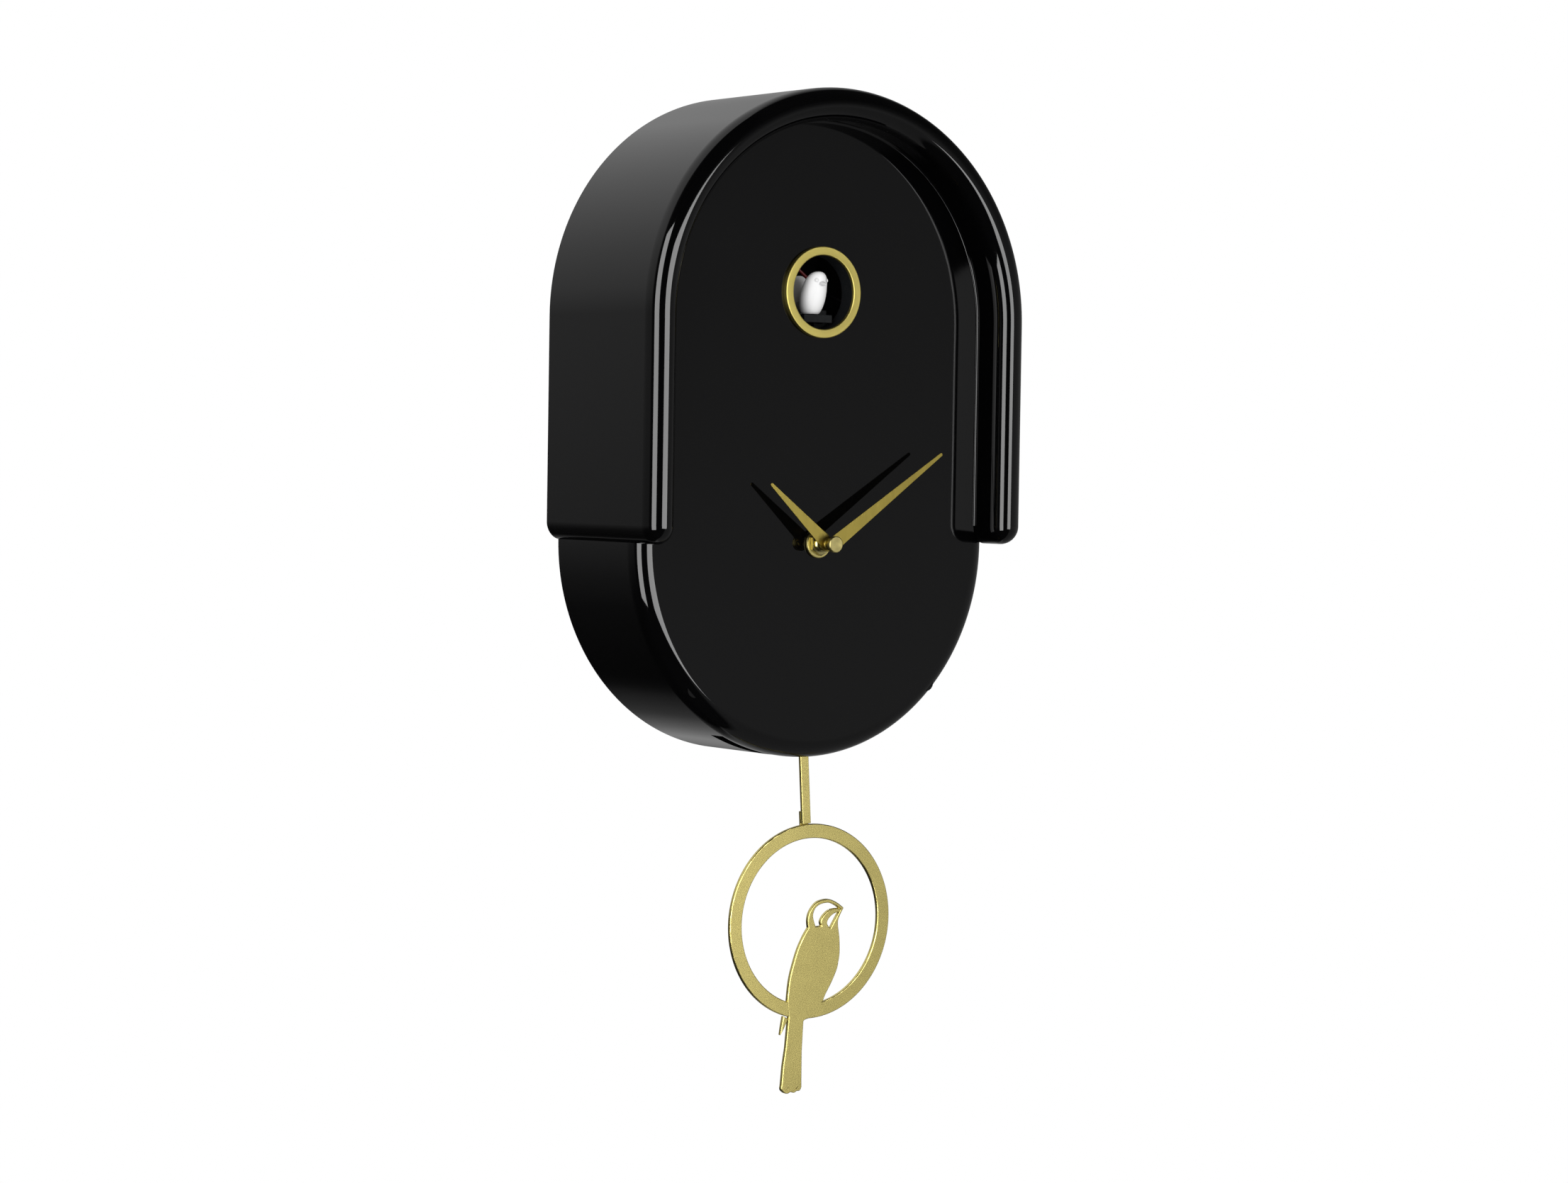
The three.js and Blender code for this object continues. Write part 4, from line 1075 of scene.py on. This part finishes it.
finishPiece(makeWasher(), "hubWasher", "case", "hub_brass", washerMetal, "dial_washer")
finishPiece(makeNut(), "hubNut", "case", "hub_brass", nutMetal, "hex_nut")
finishPiece(makeBush(), "hubBush", "case", "hub_brass", nutMetal, "threaded_bush")
finishPiece(makeCap(), "hubCap", "minute_group", "hub_brass", capMetal, "cap_nut")
finishPiece(makeHand(hourHand), "hourHand", "hour_group", "gold_plate", handGold, "hour_hand")
finishPiece(
    makeHand(minuteHand), "minuteHand", "minute_group", "gold_plate", handGold, "minute_hand"
)
print("hub and hands made")


# the pendulum is drawn in mm about the middle of its ring, hanging plumb
swingJoint = next(joint for joint in frame["joints"] if joint["name"] == "pendulum_swing")
_, plateFace, plateBack = spanOf("pendulum_ring")
_, rodFace, _ = spanOf("pendulum_rod")
pendulum = dict(
    pivot=swingJoint["pos_m"][2] / mm, reach=136.4, swing=3.58, ring=46.65, bore=39.85, edge=0.4,
    rodWide=4.7, rodThick=1.8, rodEdge=0.3, lapEdge=0.25, hook=22.0, hookPin=1.5, crown=3.0,
    lap=(-5, 6), eye=(12.0, 3.9, 0.5),
)


def hung(points, drop):
    # points drawn about a middle that is drop below the pivot, turned to where they hang
    angle = math.radians(pendulum["swing"])
    c, s = math.cos(angle), math.sin(angle)
    return [
        ((x * c - (z - drop) * s) * mm, (pendulum["pivot"] + x * s + (z - drop) * c) * mm)
        for x, z in points
    ]


# the perched bird's outline, clockwise from the nape, and what is cut out of it
birdLines = dict(
    head=[(-1.3, -3.0), (-1.4, 0.9), (0.2, 5.0), (3.9, 8.5), (7.9, 9.5), (11.9, 9.2),
          (16.2, 7.1), (19.9, 4.15)],
    breast=[(19.9, 4.15), (18.2, 1.8), (16.5, -1.2), (16.2, -3.7), (16.5, -7.0), (16.8, -10.7),
            (16.6, -17.2), (15.7, -21.4), (14.5, -25.2), (11.1, -31.0), (7.4, -36.2),
            (5.8, -39.1)],
    belly=[(-2.8, -46.5), (-5.3, -46.9), (-6.1, -47.5)],
    tailRight=[(-7.7, -61.7), (-8.5, -76.0), (-8.6, -78.9)],
    tailEnd=[(-8.6, -78.9), (-9.7, -80.5), (-11.5, -80.5), (-13.1, -81.1), (-15.2, -80.5),
             (-16.6, -81.0), (-18.7, -80.5), (-20.5, -78.6), (-20.2, -76.5)],
    tailLeft=[(-18.8, -67.3), (-16.9, -58.9), (-14.6, -44.5)],
    back=[(-15.0, -36.4), (-14.1, -30.6), (-12.8, -25.0), (-10.8, -19.5), (-7.9, -12.7),
          (-4.2, -6.7), (-1.3, -3.0)],
    crescentOut=[(3.0, -2.9), (1.7, 1.9), (2.9, 5.4), (5.6, 7.2), (9.2, 7.7), (12.2, 7.3),
                 (15.3, 5.7), (17.2, 4.2)],
    crescentIn=[(17.2, 4.2), (14.5, 4.5), (11.2, 4.0), (7.9, 1.9), (6.0, -0.8), (6.3, -3.0)],
    wedge=[(17.1, 2.6), (13.8, 1.9), (11.0, 0.1), (9.8, -1.9), (10.5, -3.6), (11.7, -4.7)],
    spur=[(-17.7, -43.4), (-19.2, -49.3), (-19.9, -52.6), (-17.6, -49.5), (-15.0, -45.2)],
    nicks=[[(-16.0, -77.6), (-17.4, -78.7), (-18.4, -79.7)],
           [(-10.1, -77.6), (-11.7, -79.2), (-13.6, -79.7)]],
)


def stamped(points, proud=0.0):
    # a flat piece of the plate's thickness, or a little more
    points = hung(points, pendulum["reach"])
    return plate(points, (plateFace - proud) * mm, (plateBack + proud) * mm)


def punch(piece, points):
    boolean(piece, stamped(points, 1))


def makeRing():
    lines = birdLines
    outline = (
        through(lines["head"], 5)[:-1] + through(lines["breast"], 4) + lines["belly"]
        + lines["tailRight"][:-1] + through(lines["tailEnd"], 3) + lines["tailLeft"]
        + through(lines["back"], 3)[:-1]
    )
    crescent = through(lines["crescentOut"], 4)[:-1] + through(lines["crescentIn"], 4)
    ring = stamped(arc(0, 0, pendulum["ring"], 0, 358, 179))
    punch(ring, arc(0, 0, pendulum["bore"], 1, 359, 179))
    # faces in one plane would flicker, so the bird stands 0.01 mm proud and the spur is inset
    perched = stamped(outline, 0.01)
    punch(perched, crescent)
    punch(perched, through(lines["wedge"], 4))
    spur = stamped(lines["spur"], -0.01)
    for piece in (ring, perched, spur):
        tidyMesh(piece, 2e-5)
        modify(
            piece, "BEVEL", width=pendulum["edge"] * mm, segments=3, limit_method="ANGLE",
            angle_limit=math.radians(60), use_clamp_overlap=False, loop_slide=False,
        )
    punch(perched, arc(*pendulum["eye"], 0, 345, 23))
    for start, middle, end in lines["nicks"]:
        punch(perched, [start, middle, end, (middle[0] + 0.35, middle[1] + 0.6)])
    ring = joinAll([ring, perched, spur])
    smooth(ring, 30)
    return ring


def makeRod():
    # a strip with a hook at its top, and a lap behind the ring that it is spot-welded to
    half, pin, top = pendulum["rodWide"] / 2, pendulum["hookPin"], -pendulum["hook"]
    back = rodFace + pendulum["rodThick"]
    foot = pendulum["ring"] + 0.3 - pendulum["reach"]
    low, high = (foot + past for past in pendulum["lap"])
    side = [(-half, foot), (half, foot)]
    hook = [(half, top - 1.2), (pin, top - 1.2)] + arc(0, top, pin, -53, 53, 8)[1:-1]
    hook += [(pin, top + 1.2), (half, top + 1.2)]
    crown = arc(0, top, pendulum["crown"], 25, 155, 14) + [(-half, top - 1.9)]
    strip = plate(hung(side + hook + crown, 0), rodFace * mm, back * mm)
    soften(strip, pendulum["rodEdge"] * mm, 3, 45)
    lap = plate(
        hung([(-half, low), (half, low), (half, high), (-half, high)], 0),
        (plateBack + 0.1) * mm, (plateBack + 1.3) * mm,
    )
    soften(lap, pendulum["lapEdge"] * mm, 2, 45)
    low = foot + 0.5
    neck = plate(
        hung([(-half, low), (half, low), (half, high), (-half, high)], 0),
        (back - 0.2) * mm, (plateBack + 0.6) * mm,
    )
    strip = joinAll([strip, lap, neck])
    smooth(strip, 35)
    return strip


finishPiece(makeRing(), "pendulumPlate", "pendulum", "gold_plate", plateGold, "pendulum_ring")
finishPiece(makeRod(), "pendulumRod", "pendulum", "gold_plate", plateGold, "pendulum_rod")
print("pendulum made")


# the parts that keep their shape get a finish only
finishOf = [
    (mattBlack, "back_cover battery_door battery_tray volume_knob"),
    # the parts inside the case take the darker black, which holds painted shade
    (innerBlackPaintedShade, "bird_frame bird_tray movement_case movement_back pendulum_bracket "
                 "pendulum_lever set_knob"),
    (zinc, "hanger_plate cell_contact_1 cell_contact_2 cell_contact_3 bird_motor pivot_pin"),
    (brightSteel, "cover_screw_1 cover_screw_2 cover_screw_3 cover_screw_4 cover_screw_5 "
                  "cover_screw_6 hood_screw_1 hood_screw_2 hood_screw_3 hood_screw_4 "
                  "bird_frame_screw_1 bird_frame_screw_2 lever_magnet minute_arbor"),
    (acetal, "bird_pinion motion_wheel third_wheel"),
    (wheelBrass, "hour_wheel"),
    (copper, "stepper_coil drive_coil"),
    (cellSleeve, "battery_cell_1 battery_cell_2 battery_cell_3 movement_cell"),
    (boardGreen, "circuit_board"),
    (greyPress, "speaker"),
    (redWire, "battery_wire_red"),
    (motorWire, "motor_wire_red"),
    (blackWire, "battery_wire_black speaker_wire"),
]
finished = set()
for material, names in finishOf:
    for name in names.split():
        for slot in frame["nodes"][name].material_slots:
            slot.material = material
            finished.add(name)
print("still plain:", sorted(set(frame["nodes"]) - finished - replaced))
